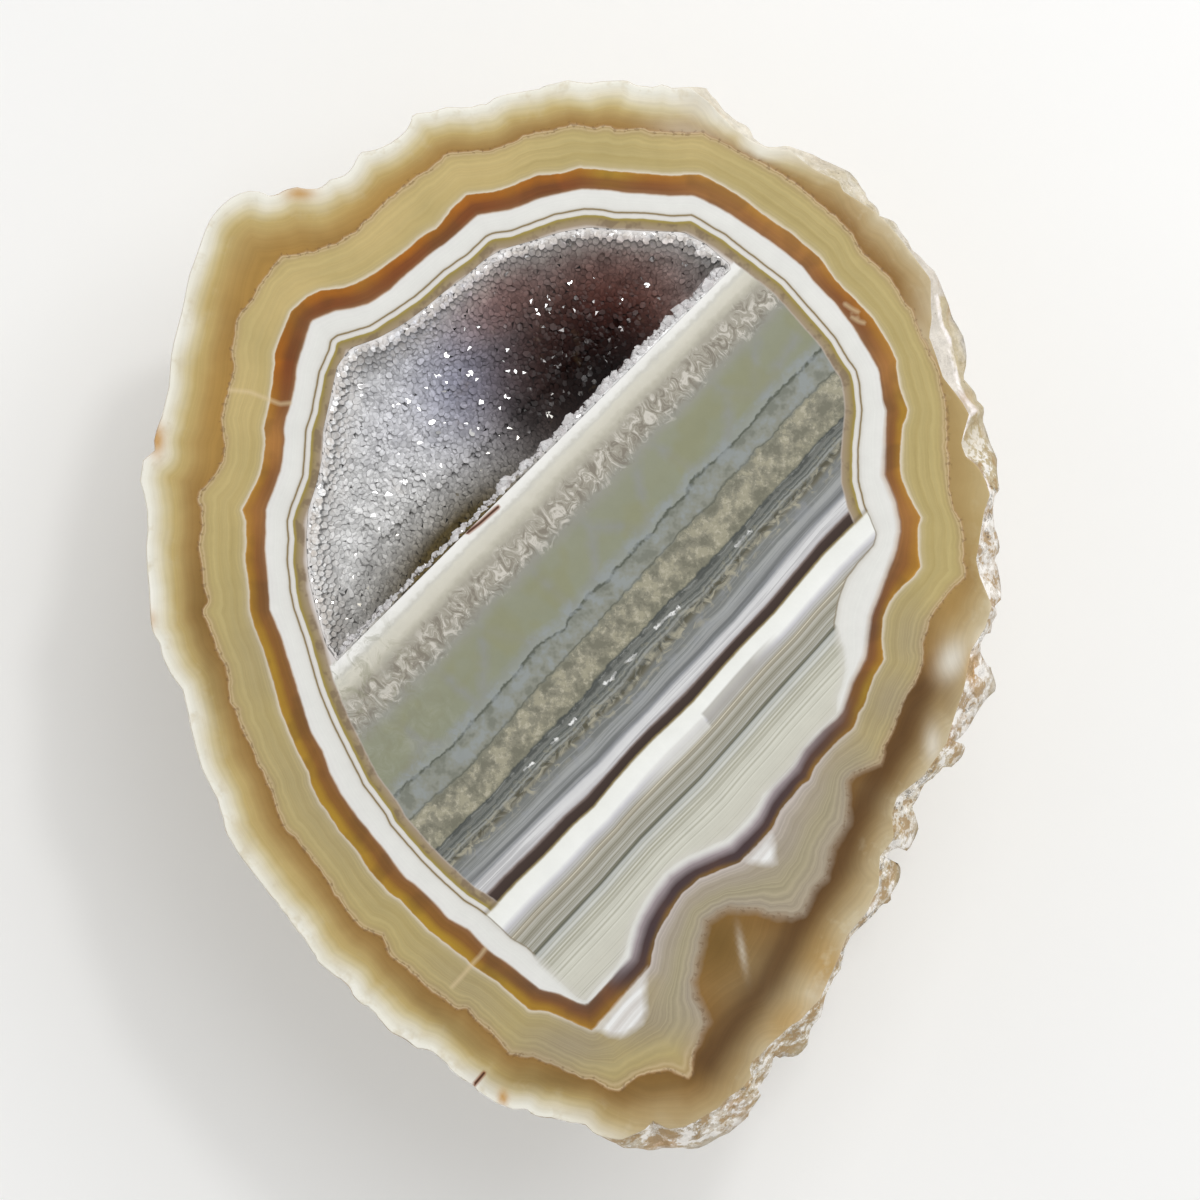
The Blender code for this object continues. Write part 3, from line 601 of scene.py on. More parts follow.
stone_points = [np.column_stack([face_points, np.full(len(face_points), DEPTH)])]
stone_faces = list(face_triangles)
edge_start = np.array([face_index[i] for i in range(RIM_POINTS)])
mouth_start = np.array([face_index[RIM_POINTS + i] for i in range(len(MOUTH))])
add_rings(stone_points, stone_faces, stone_rings[1:], edge_start)
add_rings(stone_points, stone_faces, wall_rings(MOUTH, WALL_LEVELS, 0.0, DEPTH)[1:], mouth_start, inward=True)
stone_points = np.vstack(stone_points)
stone = object_of("stone", stone_points, stone_faces)
flat_count = len(face_triangles)
smooth = np.ones(len(stone.data.polygons), bool)
smooth[:flat_count] = False
stone.data.polygons.foreach_set("use_smooth", smooth)
stone.data.calc_loop_triangles()
print("the stone has", len(stone.data.loop_triangles), "triangles")

# %% [markdown]
# ## Numbers for the pattern
# Each point of the stone now learns its depth inside every outline, in millimetres, its place in the pile of
# flat layers, and its distance to the fine lines. These are the only measurements that the material needs.

# %% Where a point lies in the flat layers
def layer_number(across, along):
    """The place in the pile of layers, for a distance across them and one along them."""
    tables = []
    for number, line in sorted(LAYER_LINES.items()):
        line = np.array(line)
        order = np.argsort(line @ ALONG)
        tables.append((number, np.interp(along, (line @ ALONG)[order], (line @ DIAGONAL)[order])))
    number = CHORD_PLACE + 0 * across
    edges = [(CHORD_PLACE, CHORD_PLACE + 0 * across)] + tables
    for (low, start), (high, end) in zip(edges[:-1], edges[1:]):
        share = (across - start) / np.maximum(end - start, 0.2)
        number = np.where(across > start, low + (high - low) * np.minimum(share, 1), number)
    last, start = edges[-1]
    number = np.where(across > start, last + across - start, number)
    return np.where(across < CHORD_PLACE, across, number)


def set_numbers(piece, name, columns, domain="POINT"):
    """Stores up to three numbers on each point or face, under one name."""
    columns = list(columns)
    columns += [np.zeros(len(columns[0]))] * (3 - len(columns))
    layer = piece.data.attributes.new(name, "FLOAT_VECTOR", domain)
    layer.data.foreach_set("vector", np.column_stack(columns).astype(np.float32).ravel())


print("the middle of the pile has the number", round(float(layer_number(np.zeros(1), np.zeros(1))[0]), 1))

# %% Store the stone's numbers
WEDGES = [
    [
        (20.3, -21.9), (20.6, -23.2), (20.8, -24.8), (20.75, -25.5), (20.1, -25.75), (18.6, -25.6),
        (17.1, -25.15),
    ],
    [
        (8.05, -35.3), (7.8, -36.3), (7.8, -38.2), (7.9, -40.3), (7.5, -41.25), (6.85, -42.05),
        (6.05, -42.5), (5.1, -42.9), (3.95, -42.85), (3.15, -42.35), (2.2, -42.05),
    ],
]  # where the white ring grows out through the tan band
# where the edge is thin, its pale colour is partly the stone's own and partly painted light that shines through
# it
THIN_EDGES = [(62, 274)]  # bearings in degrees where the pale translucent edge shows

flat = stone_points[:, :2]
rings = (RIM, TAN_EDGE, AMBER_EDGE, WHITE_EDGE, THREAD_EDGE)
depths = [depth_inside(flat, placed(outline)) for outline in rings]
wedge = np.maximum(*[depth_inside(flat, placed(line)) for line in WEDGES])
across, along = (flat + CENTRE) @ DIAGONAL, (flat + CENTRE) @ ALONG
mouth_gap = -depth_inside(flat, MOUTH)
line_sets = [
    np.min([line_distance(flat, placed(line)) for line in lines], axis=0)
    for lines in (PALE_LINES, DARK_LINES, GLINT_LINES, CHIP_RIDGES, [DARK_BAND])
]
OUTER_FLAKES = CHIP_RIDGES[0] + [(46, 12), (46, 32)]
set_numbers(stone, "shell_depths", depths[:3])
set_numbers(stone, "ring_depths", depths[3:] + [wedge])
set_numbers(stone, "layer_place", [layer_number(across, along), along, mouth_gap])
set_numbers(stone, "line_distances", line_sets[:3])
print("depth inside the rim, up to", round(float(depths[0].max()), 1), "mm")


# %% Soft patches of colour
def clouds(places, spots):
    """Soft patches: each is a middle, two radii, a slant in degrees and a strength."""
    total = np.zeros(len(places))
    for x, y, length, width, slant, strength in spots:
        gap = places + CENTRE - (x, y)
        slant = math.radians(slant)
        run = gap @ (math.cos(slant), math.sin(slant)) / length
        side = gap @ (-math.sin(slant), math.cos(slant)) / width
        total = np.maximum(total, strength * np.exp(-(run**2) - side**2))
    return total


def edge_shine(places):
    """1 where the stone's edge is thin, and 0 where it is thick, by bearing."""
    bearing = np.degrees(np.arctan2(places[:, 1], places[:, 0])) % 360
    shine = np.zeros(len(places))
    for low, high in THIN_EDGES:
        shine = np.maximum(shine, np.clip(np.minimum(bearing - low, high - bearing) / 12 + 0.5, 0, 1))
    return shine


DARK_CLOUDS = [(37.5, -8, 1.5, 3, 0, 0.4), (22, -31, 3, 3, 60, 0.5)]
BAND_WIDTH = 2.3
GOLD_CLOUDS = [
    (-35, 20, 2, 10, -6, 0.7), (-30, 33, 6, 3, 45, 0.8), (-18, 41.5, 8, 2, 30, 0.7),
    (26, -36, 2.6, 4, 30, 0.8), (10, 47.5, 12, 1.2, -5, 0.3), (38, 2, 1.5, 3, 0, 0.5),
    (22, -41, 3, 2, 40, 0.7),
]
PALE_CLOUDS = [
    (13, 50.5, 3, 2, -20, 0.7), (12, 47.5, 4, 2, -25, 0.4), (37, 30, 2, 3, 0, 0.6),
    (35.5, 27, 1.6, 2.5, 20, 0.6), (38.2, -5, 1.3, 1.9, -20, 1.0), (36.3, -13.5, 0.8, 1.8, 0, 0.8),
    (38.5, 6.5, 0.4, 1.2, -15, 0.8), (17.2, -34, 0.3, 2, 10, 0.55),
]
AMBER_RED = [
    (-2, 42, 5, 3, 0, 0.95), (-10, 40, 6, 3, 30, 0.95), (-17, 35, 5, 3, 45, 0.95),
    (-24, 31, 4, 3, 40, 0.9), (-28.5, 25, 3, 4, 0, 1.0), (28, 31, 4, 2.5, -50, 0.5),
    (9, 43, 3, 1.5, 0, 0.5),
]
AMBER_GOLD = [
    (3.9, 42.6, 1.9, 2, 0, 1.0), (-29, -5, 7, 2.5, 100, 0.8), (-26.5, -12, 6, 2.5, 110, 0.9),
    (-22, -21, 8, 2.5, -50, 1.0), (-14, -31, 8, 2.5, -45, 1.0), (-6, -37, 5, 2, -35, 0.9),
    (29.4, -8.2, 2.4, 0.9, 65, 1.0), (33, 20.5, 2.5, 1.0, 90, 0.7),
]
AMBER_DARK = [
    (17.5, -24.3, 4.5, 2, 45, 1.0), (21, -19.5, 4, 2, 50, 0.8), (11, -27.5, 4, 3, 40, 0.95),
    (8, -32, 3, 3, 60, 0.95), (5.5, -36, 3, 2.5, 45, 0.9), (2, -38.5, 3, 1.5, 40, 0.55),
    (25, -13.5, 4, 2, 50, 0.55), (31, -1, 3, 1.6, 75, 0.35), (-3, -38, 5, 0.8, -25, 0.4),
]
AMBER_LIGHT = [
    (22, 37, 5, 3, -40, 0.8), (15, 41, 4, 2.5, -20, 0.75), (33.5, 9.5, 3.5, 3, 80, 0.6),
    (32, 24, 3, 2.5, -70, 0.7), (-30, 16.8, 2.5, 3, 80, 0.95), (-31, 9.5, 2.5, 3.5, 85, 0.5),
]
TAN_LIGHT = [
    (-10, 43.5, 8, 3, 20, 0.8), (-19, 38, 7, 3, 45, 0.9), (-28, 31, 6, 4, 50, 0.9),
    (-33, 22, 3.5, 7, 0, 0.8), (-34, 12, 3, 5, 0, 0.45), (12, 46.5, 5, 2.5, -15, 0.4),
]
TAN_DULL = [
    (8, -41, 6, 3, 20, 0.95), (10, -31, 3, 5, -20, 0.9), (16, -28, 5, 3, 20, 0.95),
    (22, -23, 4, 3, 60, 0.95), (27, -17, 5, 3, 60, 0.85), (32, -9, 4, 3, 60, 0.8),
    (34, -3, 2.5, 4, 0, 0.6), (0, -43.5, 6, 3, 0, 0.9), (-10, -38, 7, 2.5, -40, 0.45),
    (-25, -20, 12, 3, -55, 0.35), (-31, -4, 3, 7, 0, 0.35),
]
BROWN_CLOUDS = [
    (15, -33.5, 3.4, 4, 0, 1.0), (8.5, -47.5, 6, 1.5, 15, 0.6), (-37, 0, 1.6, 5, 5, 0.6),
    (-2, -47, 6, 1.5, -5, 0.7), (-36, -6, 1.2, 6, 10, 0.45), (-12, -41.5, 8, 1.0, -40, 0.5),
    (6, -44.6, 3, 1, 0, 0.5),
]
OCHRE_CLOUDS = [
    (-41.3, 17, 0.8, 1.7, 0, 1.0), (-27, 41.7, 1.5, 0.7, 0, 0.9), (-6.7, -48.8, 0.5, 0.8, 0, 1.0),
    (40.4, -6.2, 0.7, 1.9, 0, 0.9), (-41.8, -1, 0.5, 1.0, 0, 0.5), (9, -54, 2.0, 0.8, 20, 0.8),
]
dark_outside = np.maximum(0.9 * np.exp(-((line_sets[4] / BAND_WIDTH) ** 2)), clouds(flat, DARK_CLOUDS))
set_numbers(stone, "outer_tones", [dark_outside, clouds(flat, GOLD_CLOUDS), clouds(flat, PALE_CLOUDS)])
set_numbers(stone, "chips", [line_sets[3], depth_inside(flat, placed(OUTER_FLAKES))])
set_numbers(stone, "amber_tones", [clouds(flat, spots) for spots in (AMBER_RED, AMBER_GOLD, AMBER_DARK)])
set_numbers(stone, "tan_tones", [clouds(flat, spots) for spots in (TAN_LIGHT, TAN_DULL, AMBER_LIGHT)])
set_numbers(stone, "stain_tones", [clouds(flat, spots) for spots in (BROWN_CLOUDS, OCHRE_CLOUDS)])
set_numbers(stone, "surface_kind", [edge_shine(flat), DEPTH - stone_points[:, 2]])
print("dark patches:", len(DARK_CLOUDS), "and gold ones:", len(GOLD_CLOUDS))

# %% [markdown]
# ## A short way to write materials
# A material is a tree of nodes. Placing them by mouse suits one material, but in a script each node takes
# several lines. The small class below adds a node and links it in one call, so that a material reads like a
# recipe.

# %% The node writer
def paint(colour):
    """A colour such as "#C8A886" as the plain light values that Blender uses; a socket stays as it is."""
    if not isinstance(colour, str):
        return colour
    parts = [int(colour[i : i + 2], 16) / 255 for i in (1, 3, 5)]
    return [part / 12.92 if part <= 0.04045 else ((part + 0.055) / 1.055) ** 2.4 for part in parts] + [1]


class Nodes:
    """Adds nodes to one material or group. Each value is a number, a colour or another node's socket."""

    def __init__(self, tree):
        self.tree = tree
        self.dimensions = "3D"  # of its noise; the flat face needs only two, at half the cost
        self.noises = {}

    def add(self, kind, inputs=(), **settings):
        node = self.tree.nodes.new("ShaderNode" + kind)
        for name, value in settings.items():
            setattr(node, name, value)
        self.set(node, dict(inputs))
        return node

    def set(self, node, inputs):
        """Links another node's socket to each input, or gives it a value."""
        for key, value in inputs.items():
            if isinstance(value, bpy.types.NodeSocket):
                self.tree.links.new(value, node.inputs[key])
            else:
                node.inputs[key].default_value = value

    def math(self, operation, *values, clamp=False):
        return self.add("Math", dict(enumerate(values)), operation=operation, use_clamp=clamp).outputs[0]

    def times(self, first, *others):
        """The product of the values. Of masks, it is where all of them meet."""
        for other in others:
            first = self.math("MULTIPLY", first, other)
        return first

    def mix(self, share, low, high, blend="MIX"):
        inputs = {0: share, 6: paint(low), 7: paint(high)}
        return self.add("Mix", inputs, data_type="RGBA", blend_type=blend).outputs[2]

    def shaded(self, colour, shade):
        """The colour made darker, or lighter where the shade is above 1."""
        return self.mix(1.0, colour, self.vector(shade, shade, shade), "MULTIPLY")

    def blend(self, share, low, high):
        return self.add("Mix", {0: share, 2: low, 3: high}).outputs[0]

    def numbers(self, name):
        """The three numbers that a point carries under this name."""
        vector = self.add("Attribute", attribute_name=name).outputs["Vector"]
        return tuple(self.add("SeparateXYZ", {0: vector}).outputs)

    def over(self, value, low, high, to_low=0.0, to_high=1.0):
        """The value, taken from one range to another and held at its ends."""
        inputs = {0: value, 1: low, 2: high, 3: to_low, 4: to_high}
        return self.add("MapRange", inputs).outputs[0]

    def within(self, value, low, high, soft=0.06):
        """1 where the value lies between two numbers, with soft ends."""
        rise = self.over(value, low - soft, low + soft)
        return self.times(rise, self.over(value, high - soft, high + soft, 1.0, 0.0))

    def ramp(self, value, stops):
        """Colours at given values, blended between them."""
        low, high = stops[0][0], stops[-1][0]
        node = self.add("ValToRGB", {0: self.over(value, low, high)})
        elements = node.color_ramp.elements
        while len(elements) < len(stops):
            elements.new(0.5)
        for element, (place, colour) in zip(elements, stops):
            element.position = (place - low) / (high - low)
            element.color = paint(colour)
        return node.outputs[0]

    def noise(self, place, size, detail=2.0, roughness=0.5, distortion=0.0):
        """Cloudy noise. Asked for the same noise again, it gives the same node, which renders faster."""
        key = (place.node.name, size, detail, roughness, distortion, self.dimensions)
        if key not in self.noises:
            inputs = {"Vector": place, "Scale": 1 / size, "Detail": detail, "Roughness": roughness,
                      "Distortion": distortion}
            self.noises[key] = self.add("TexNoise", inputs, noise_dimensions=self.dimensions).outputs[0]
        return self.noises[key]

    def place(self):
        """The place on the object, in millimetres."""
        spot = self.add("TexCoord").outputs["Object"]
        return self.add("VectorMath", {0: spot, 3: 1 / MM}, operation="SCALE").outputs[0]

    def vector(self, x, y, z=0.0):
        return self.add("CombineXYZ", {0: x, 1: y, 2: z}).outputs[0]


def shader_group(name, outputs, build):
    """A node group with the inputs Place, Size and Amount, whose build function returns its outputs."""
    tree = bpy.data.node_groups.new(name, "ShaderNodeTree")
    for label, kind in (("Place", "Vector"), ("Size", "Float"), ("Amount", "Float")):
        tree.interface.new_socket(label, in_out="INPUT", socket_type="NodeSocket" + kind)
    for label, kind in outputs:
        tree.interface.new_socket(label, in_out="OUTPUT", socket_type="NodeSocket" + kind)
    writer = Nodes(tree)
    start, end = tree.nodes.new("NodeGroupInput"), tree.nodes.new("NodeGroupOutput")
    place, size, amount = (start.outputs[label] for label in ("Place", "Size", "Amount"))
    sizes = writer.vector(size, size, size)
    scaled = writer.add("VectorMath", {0: place, 1: sizes}, operation="DIVIDE").outputs[0]
    for socket, result in zip(end.inputs, build(writer, scaled, amount)):
        tree.links.new(result, socket)
    print(f"group {name}: {len(tree.nodes)} nodes")
    return tree


def material_of(name):
    """A new material, the writer for it and its shader."""
    material = bpy.data.materials.new(name)
    material.use_nodes = True
    return material, Nodes(material.node_tree), material.node_tree.nodes["Principled BSDF"]


# %% [markdown]
# ## Effects that several finishes share
# Fine mineral grain, rusty stains and small specks show on the polished face, on the rind and on the
# crystals. Each is a node group, built once, and every material sets its own size and amount.

# %% Grain, stains and specks
def build_grain(nodes, place, amount):
    """Grain that lightens and darkens a colour, and a height for bumps."""
    height = nodes.noise(place, 1.0, 4.0, 0.7)
    shade = nodes.math("MULTIPLY_ADD", nodes.math("SUBTRACT", height, 0.5), amount, 1.0)
    return nodes.vector(shade, shade, shade), height


def build_stain(nodes, place, amount):
    """Rust that has crept in from cracks: soft patches, more of them as the amount grows."""
    edge = nodes.math("SUBTRACT", 0.82, nodes.times(amount, 0.5))
    patch = nodes.math("SUBTRACT", nodes.noise(place, 1.0, 3.0, 0.6), edge)
    return (nodes.math("MULTIPLY", patch, 6.0, clamp=True),)


def build_specks(nodes, place, amount):
    """Round specks at scattered places. The amount is the share of the places that has one."""
    cells = nodes.add("TexVoronoi", {"Vector": place, "Scale": 1.0})
    chosen = nodes.add("SeparateColor", {0: cells.outputs["Color"]})
    has_one = nodes.math("LESS_THAN", chosen.outputs[0], amount)
    reach = nodes.math("MULTIPLY_ADD", chosen.outputs[1], 0.1, 0.03)
    ragged = nodes.math("MULTIPLY_ADD", nodes.noise(place, 0.12, 1.0), 0.1, cells.outputs["Distance"])
    gap = nodes.math("SUBTRACT", reach, nodes.math("SUBTRACT", ragged, 0.05))
    return (nodes.times(nodes.math("MULTIPLY", gap, 25.0, clamp=True), has_one),)


GRAIN = shader_group("mineral grain", [("Shade", "Vector"), ("Height", "Float")], build_grain)
STAIN = shader_group("rust stain", [("Stain", "Float")], build_stain)
SPECKS = shader_group("specks", [("Specks", "Float")], build_specks)


def effect(nodes, group, place, size, amount):
    """One of the shared groups, placed in a material with its own size and amount."""
    return nodes.add("Group", {"Place": place, "Size": size, "Amount": amount}, node_tree=group).outputs


# %% [markdown]
# ## The agate
# The colours of an agate's bands come from the order in which silica filled the bubble, from the wall
# inwards. The material follows that order. It starts with the outermost band, and each later band is laid
# over what came before, wherever a point lies deep enough inside that band's outline. Within a band, a
# colour ramp runs from its outer to its inner edge, and fine laminations follow the same share, so they run
# round with the band.

# %% Colours of the rings, from the rim inwards
THIN_EDGE_COLOURS = [
    (0.0, "#F1EFE5"), (0.6, "#EAE7D9"), (1.2, "#E0D9C3"), (1.9, "#CEC199"), (2.8, "#BEA86F"),
    (4.5, "#AE9159"), (7.5, "#9C7C40"),
]  # by depth in mm, where the edge is thin and light shines through
THICK_EDGE_COLOURS = [
    (0.0, "#D6CAB0"), (0.2, "#C3B28E"), (0.5, "#AE966A"), (0.8, "#A08354"), (1.0, "#8A6B3B"),
]  # by share of the band
TAN_COLOURS = [
    (0.0, "#AD8B62"), (0.025, "#C6AF89"), (0.05, "#AB9365"), (0.085, "#BFAA7F"), (0.12, "#AF9B6B"),
    (0.2, "#B5A36D"), (0.36, "#BBAA74"), (0.4, "#B3A16B"), (0.6, "#B6A570"), (0.66, "#AF9D67"),
    (0.8, "#B4A36E"), (0.9, "#B8A87B"), (0.95, "#CABD9F"), (0.98, "#D6CCB9"), (1.0, "#B99B6A"),
]
AMBER_COLOURS = [
    (0.0, "#C09040"), (0.06, "#A97A2C"), (0.25, "#9A6C28"), (0.5, "#87582B"), (0.75, "#7F5430"),
    (0.93, "#8C6443"), (1.0, "#BCA48C"),
]
WHITE_COLOURS = [(0.0, "#D9D6D2"), (0.1, "#E3E2DE"), (0.5, "#E3E3DE"), (0.85, "#E0DFDA"), (1.0, "#D2CFC7")]
THREAD_COLOURS = [
    (0.0, "#8C7A50"), (0.13, "#85724F"), (0.24, "#CFCBC4"), (0.4, "#DFDCD6"), (0.62, "#D8D5CE"),
    (0.72, "#A08F4C"), (0.86, "#98864A"), (1.0, "#96845A"), (1.3, "#9C8B6B"), (1.62, "#A08F78"),
    (1.85, "#C2B7AD"), (2.1, "#D8D3D0"), (2.6, "#D3CECB"), (3.0, "#CDC8C5"),
]  # by depth in mm inside the first hair-thin ring

RIND_COLOURS = [(0.32, "#A08C68"), (0.42, "#B9A785"), (0.52, "#CCC0A6"), (0.62, "#DAD3C3"), (0.72, "#C2B08A")]

print("colours of the amber band, from outside:", *(colour for _, colour in AMBER_COLOURS))

# %% Colours of the flat layers, from the hollow downwards
UPPER_LAYERS = [
    (-13.2, "#EAE9E6"), (-12.6, "#F0EFEB"), (-12.1, "#E9E8E2"), (-11.7, "#CDCBC2"), (-11.35, "#D6D3C6"),
    (-10.6, "#D0CCBE"), (-10.0, "#BBB7A8"), (-9.4, "#A8A396"), (-7.6, "#A19C8F"), (-6.4, "#96958B"),
    (-5.2, "#91937F"), (-3.0, "#8F917A"), (-1.4, "#8E917C"), (-0.8, "#8F9287"), (-0.14, "#949890"),
    (0.0, "#565A50"), (0.12, "#5E6258"), (0.28, "#868980"), (1.4, "#8D8F85"), (2.6, "#8B8C81"),
    (2.8, "#5E6054"), (2.92, "#807F70"), (4.2, "#8B8878"), (5.6, "#888574"), (6.45, "#82806F"),
]
LOWER_LAYERS = [
    (6.5, "#82806F"), (6.65, "#5C5F59"), (7.0, "#7E7F79"), (7.6, "#696C68"), (8.3, "#7D7F79"),
    (9.0, "#76756B"), (9.35, "#7F7C6E"), (9.75, "#787A76"), (10.6, "#7C7E7B"), (11.1, "#A2A4A3"),
    (11.5, "#9A9C9C"), (12.1, "#6C6E6F"), (12.45, "#94969A"), (12.75, "#D0D0D1"), (13.3, "#DADADA"),
    (13.75, "#C4C2C4"), (13.95, "#7D6F69"), (14.15, "#443631"), (14.85, "#3D302A"), (15.05, "#8F7F56"),
    (15.25, "#EDEEE8"), (16.9, "#F2F3EF"), (17.4, "#CBCACE"), (18.0, "#B0AEA9"),
]
BOTTOM_LAYERS = [
    (17.6, "#C6C5C8"), (18.0, "#B2B0AA"), (18.3, "#A8A191"), (18.45, "#D6CFBC"), (18.58, "#A49D8C"),
    (19.1, "#AFAC9F"), (19.5, "#938F80"), (20.0, "#B0AEA3"), (20.6, "#A3A195"), (20.82, "#64665A"),
    (21.08, "#62645A"), (21.2, "#B3B5B0"), (21.9, "#C6C7C2"), (22.25, "#A5A392"), (22.4, "#C6C5B8"),
    (22.58, "#A3A18F"), (22.72, "#C8C7BA"), (22.92, "#ABA999"), (23.2, "#CAC9BC"), (24.6, "#D0CFC2"),
    (26.5, "#CCCABD"), (30.0, "#CECDC3"),
]
print("colours of the layers:", len(UPPER_LAYERS + LOWER_LAYERS + BOTTOM_LAYERS))


# %% Short words for painting
def over(*values):
    return nodes.over(*values)


def within(*values):
    return nodes.within(*values)


def cloudy(*values):
    return nodes.noise(place, *values)


def laid(base, tint, strength, *masks):
    """A colour laid over another one, where all of these masks meet."""
    return nodes.mix(nodes.times(strength, *masks), base, tint)


def wandering(value, size, by, detail=2.0, where=None):
    """The value, made to wander a little, as a listed outline is too smooth."""
    wave = nodes.noise(place if where is None else where, size, detail)
    return nodes.math("MULTIPLY_ADD", nodes.math("SUBTRACT", wave, 0.5), by, value)


def stretched(across, along_share):
    """A place in the flat layers, for patterns that are drawn out along them."""
    return nodes.vector(across, nodes.times(along, along_share))


def share_between(outer, inner):
    """0 at a band's outer edge and 1 at its inner one."""
    whole = nodes.math("MAXIMUM", nodes.math("SUBTRACT", outer, inner), 0.05)
    return nodes.math("DIVIDE", outer, whole, clamp=True)


def inside_of(depth, soft, outside=1.0):
    """1 inside an outline and 0 outside it, blended over a soft edge."""
    return over(depth, nodes.times(soft, -outside), nodes.times(soft, 2 - outside))


def ruled(value, size, seed):
    """Parallel lines of varying weight, which drift a little along their length."""
    drift = nodes.math("MULTIPLY_ADD", cloudy(9.0, 1.0), 1.5 * size, nodes.math("ADD", value, seed))
    inputs = {"W": drift, "Scale": 1 / size, "Detail": 3.0, "Roughness": 0.65}
    return nodes.add("TexNoise", inputs, noise_dimensions="1D").outputs[0]


def laminated(colour, share, lines, strength, seed):
    """Fine layers that run round with a band, as slightly lighter and darker lines."""
    turn = nodes.math("MULTIPLY_ADD", cloudy(5.0, 2.0), 0.5, nodes.times(share, lines))
    light = nodes.times(over(ruled(turn, 1.0, seed), 0.38, 0.62), strength)
    dimmest = nodes.math("SUBTRACT", 1.0, nodes.times(strength, 0.5))
    return nodes.shaded(colour, nodes.math("ADD", light, dimmest))


print("ways to paint:", ", ".join(way.__name__ for way in (laid, wandering, inside_of, ruled, laminated)))

# %% Start the polished face's material
agate, nodes, shader = material_of("banded agate")
nodes.dimensions = "2D"
place = nodes.place()
rim_depth, tan_depth, amber_depth = nodes.numbers("shell_depths")
white_depth, thread_depth, wedge_depth = nodes.numbers("ring_depths")
layer, along, mouth_gap = nodes.numbers("layer_place")
thin_lit_edge, _, _ = nodes.numbers("surface_kind")
dark_tone, gold_tone, pale_tone = nodes.numbers("outer_tones")
amber_red, amber_gold, amber_dark = nodes.numbers("amber_tones")
tan_light, tan_dull, amber_light = nodes.numbers("tan_tones")
brown_tone, ochre_tone, _ = nodes.numbers("stain_tones")
pale_line, dark_line, glint_line = nodes.numbers("line_distances")
tan_edge = wandering(wandering(tan_depth, 1.5, 0.5), 5.0, 0.5)
amber_edge = wandering(amber_depth, 1.2, 0.2)
white_edge = wandering(white_depth, 1.5, 0.14)
thread_edge = wandering(thread_depth, 1.5, 0.12)
right_side = nodes.times(over(along, 5.0, 14.0), over(layer, 8.0, 13.0))
low_side = nodes.times(over(layer, 22.0, 25.0), over(along, -24.0, -19.0), over(along, 4.0, 14.0, 1.0, 0.0))
print("edges written with", len(nodes.tree.nodes), "nodes")

# %% The outermost band
outer_share = share_between(rim_depth, tan_edge)
thin_colour = nodes.ramp(wandering(rim_depth, 6.0, 1.6), THIN_EDGE_COLOURS)
thick_colour = nodes.ramp(wandering(outer_share, 5.0, 0.3), THICK_EDGE_COLOURS)
# Where the edge is thin, painted light that shines through it pales the band's own colour.
colour = nodes.mix(thin_lit_edge, thick_colour, thin_colour)
for tint, strength, masks in (
    ("#8A6430", 0.7, [over(outer_share, 0.6, 0.97)]),
    ("#B48D48", 0.85, [gold_tone]),
    ("#735729", 0.95, [brown_tone]),
    ("#583C1E", 1.0, [dark_tone]),
    ("#D7D0C1", 1.0, [pale_tone]),
    ("#CFC3A6", 0.5, [over(cloudy(2.4, 3.0, 0.65), 0.54, 0.7), over(rim_depth, 3.5, 0.6)]),
):
    colour = laid(colour, tint, strength, *masks)
colour = laminated(colour, rim_depth, 1.6, 0.07, 3.0)
colour = laid(colour, "#B59D68", 0.6, over(along, 5.0, 14.0), within(layer, 4.0, 27.0, 3.0))
colour = laid(colour, "#C08A2C", 0.9, ochre_tone)
print("with the outermost band:", len(nodes.tree.nodes), "nodes")

# %% The tan band
tan_share = share_between(tan_edge, amber_edge)
tan = nodes.ramp(tan_share, TAN_COLOURS)
for tint, strength, masks in (
    ("#CBB47C", 0.75, [tan_light, within(tan_share, 0.1, 0.9, 0.05)]),
    ("#978B78", 0.8, [tan_dull]),
    ("#A3998A", 0.8, [low_side]),
    ("#A59C78", 0.7, [low_side, within(tan_share, 0.3, 0.5, 0.15)]),
    ("#BDB3AC", 0.9, [low_side, over(tan_share, 0.72, 0.98)]),
):
    tan = laid(tan, tint, strength, *masks)
quiet = over(cloudy(9.0, 1.0), 0.42, 0.6, 0.03, 0.08)
plain = nodes.math("MULTIPLY_ADD", nodes.math("MAXIMUM", tan_dull, low_side), 0.13, quiet)
tan = laminated(tan, tan_share, 18.0, plain, 9.0)
tan = laminated(tan, tan_share, 5.0, 0.05, 90.0)
colour = nodes.mix(inside_of(tan_edge, nodes.math("MULTIPLY_ADD", low_side, 0.5, 0.12)), colour, tan)
colour = laid(colour, "#6B5236", 0.4, over(cloudy(0.5, 3.0), 0.56, 0.62), within(tan_edge, -0.2, 0.35, 0.1))
print("with the tan band:", len(nodes.tree.nodes), "nodes")

# %% The amber band
amber_share = share_between(amber_edge, white_edge)
body = over(amber_share, 0.8, 0.98, 1.0, 0.0)
fringe = over(amber_share, 0.15, 0.5, 1.0, 0.0)
uneven = over(cloudy(5.0, 2.0), 0.35, 0.6, 0.45, 1.0)
amber = nodes.ramp(amber_share, AMBER_COLOURS)
for tint, strength, masks in (
    ("#7C431E", 0.9, [amber_red, body]),
    ("#B86E16", 0.95, [amber_red, fringe, uneven]),
    ("#875E28", 0.8, [amber_gold, body]),
    ("#B08C2C", 0.95, [amber_gold, fringe]),
    ("#AF7A40", 0.85, [amber_light, body]),
    ("#5A4022", 0.3, [over(cloudy(5.0, 2.0), 0.5, 0.62)]),
    ("#443536", 1.0, [amber_dark, over(amber_share, 0.02, 0.2, 0.8, 1.0)]),
    ("#6E5836", 0.7, [low_side, over(amber_share, 0.3, 0.0)]),
    ("#463739", 0.85, [low_side, over(amber_share, 0.1, 0.3)]),
    ("#A89DA0", 0.9, [low_side, over(amber_share, 0.5, 0.92)]),
):
    amber = laid(amber, tint, strength, *masks)
amber = laminated(amber, amber_share, 5.0, 0.08, 21.0)
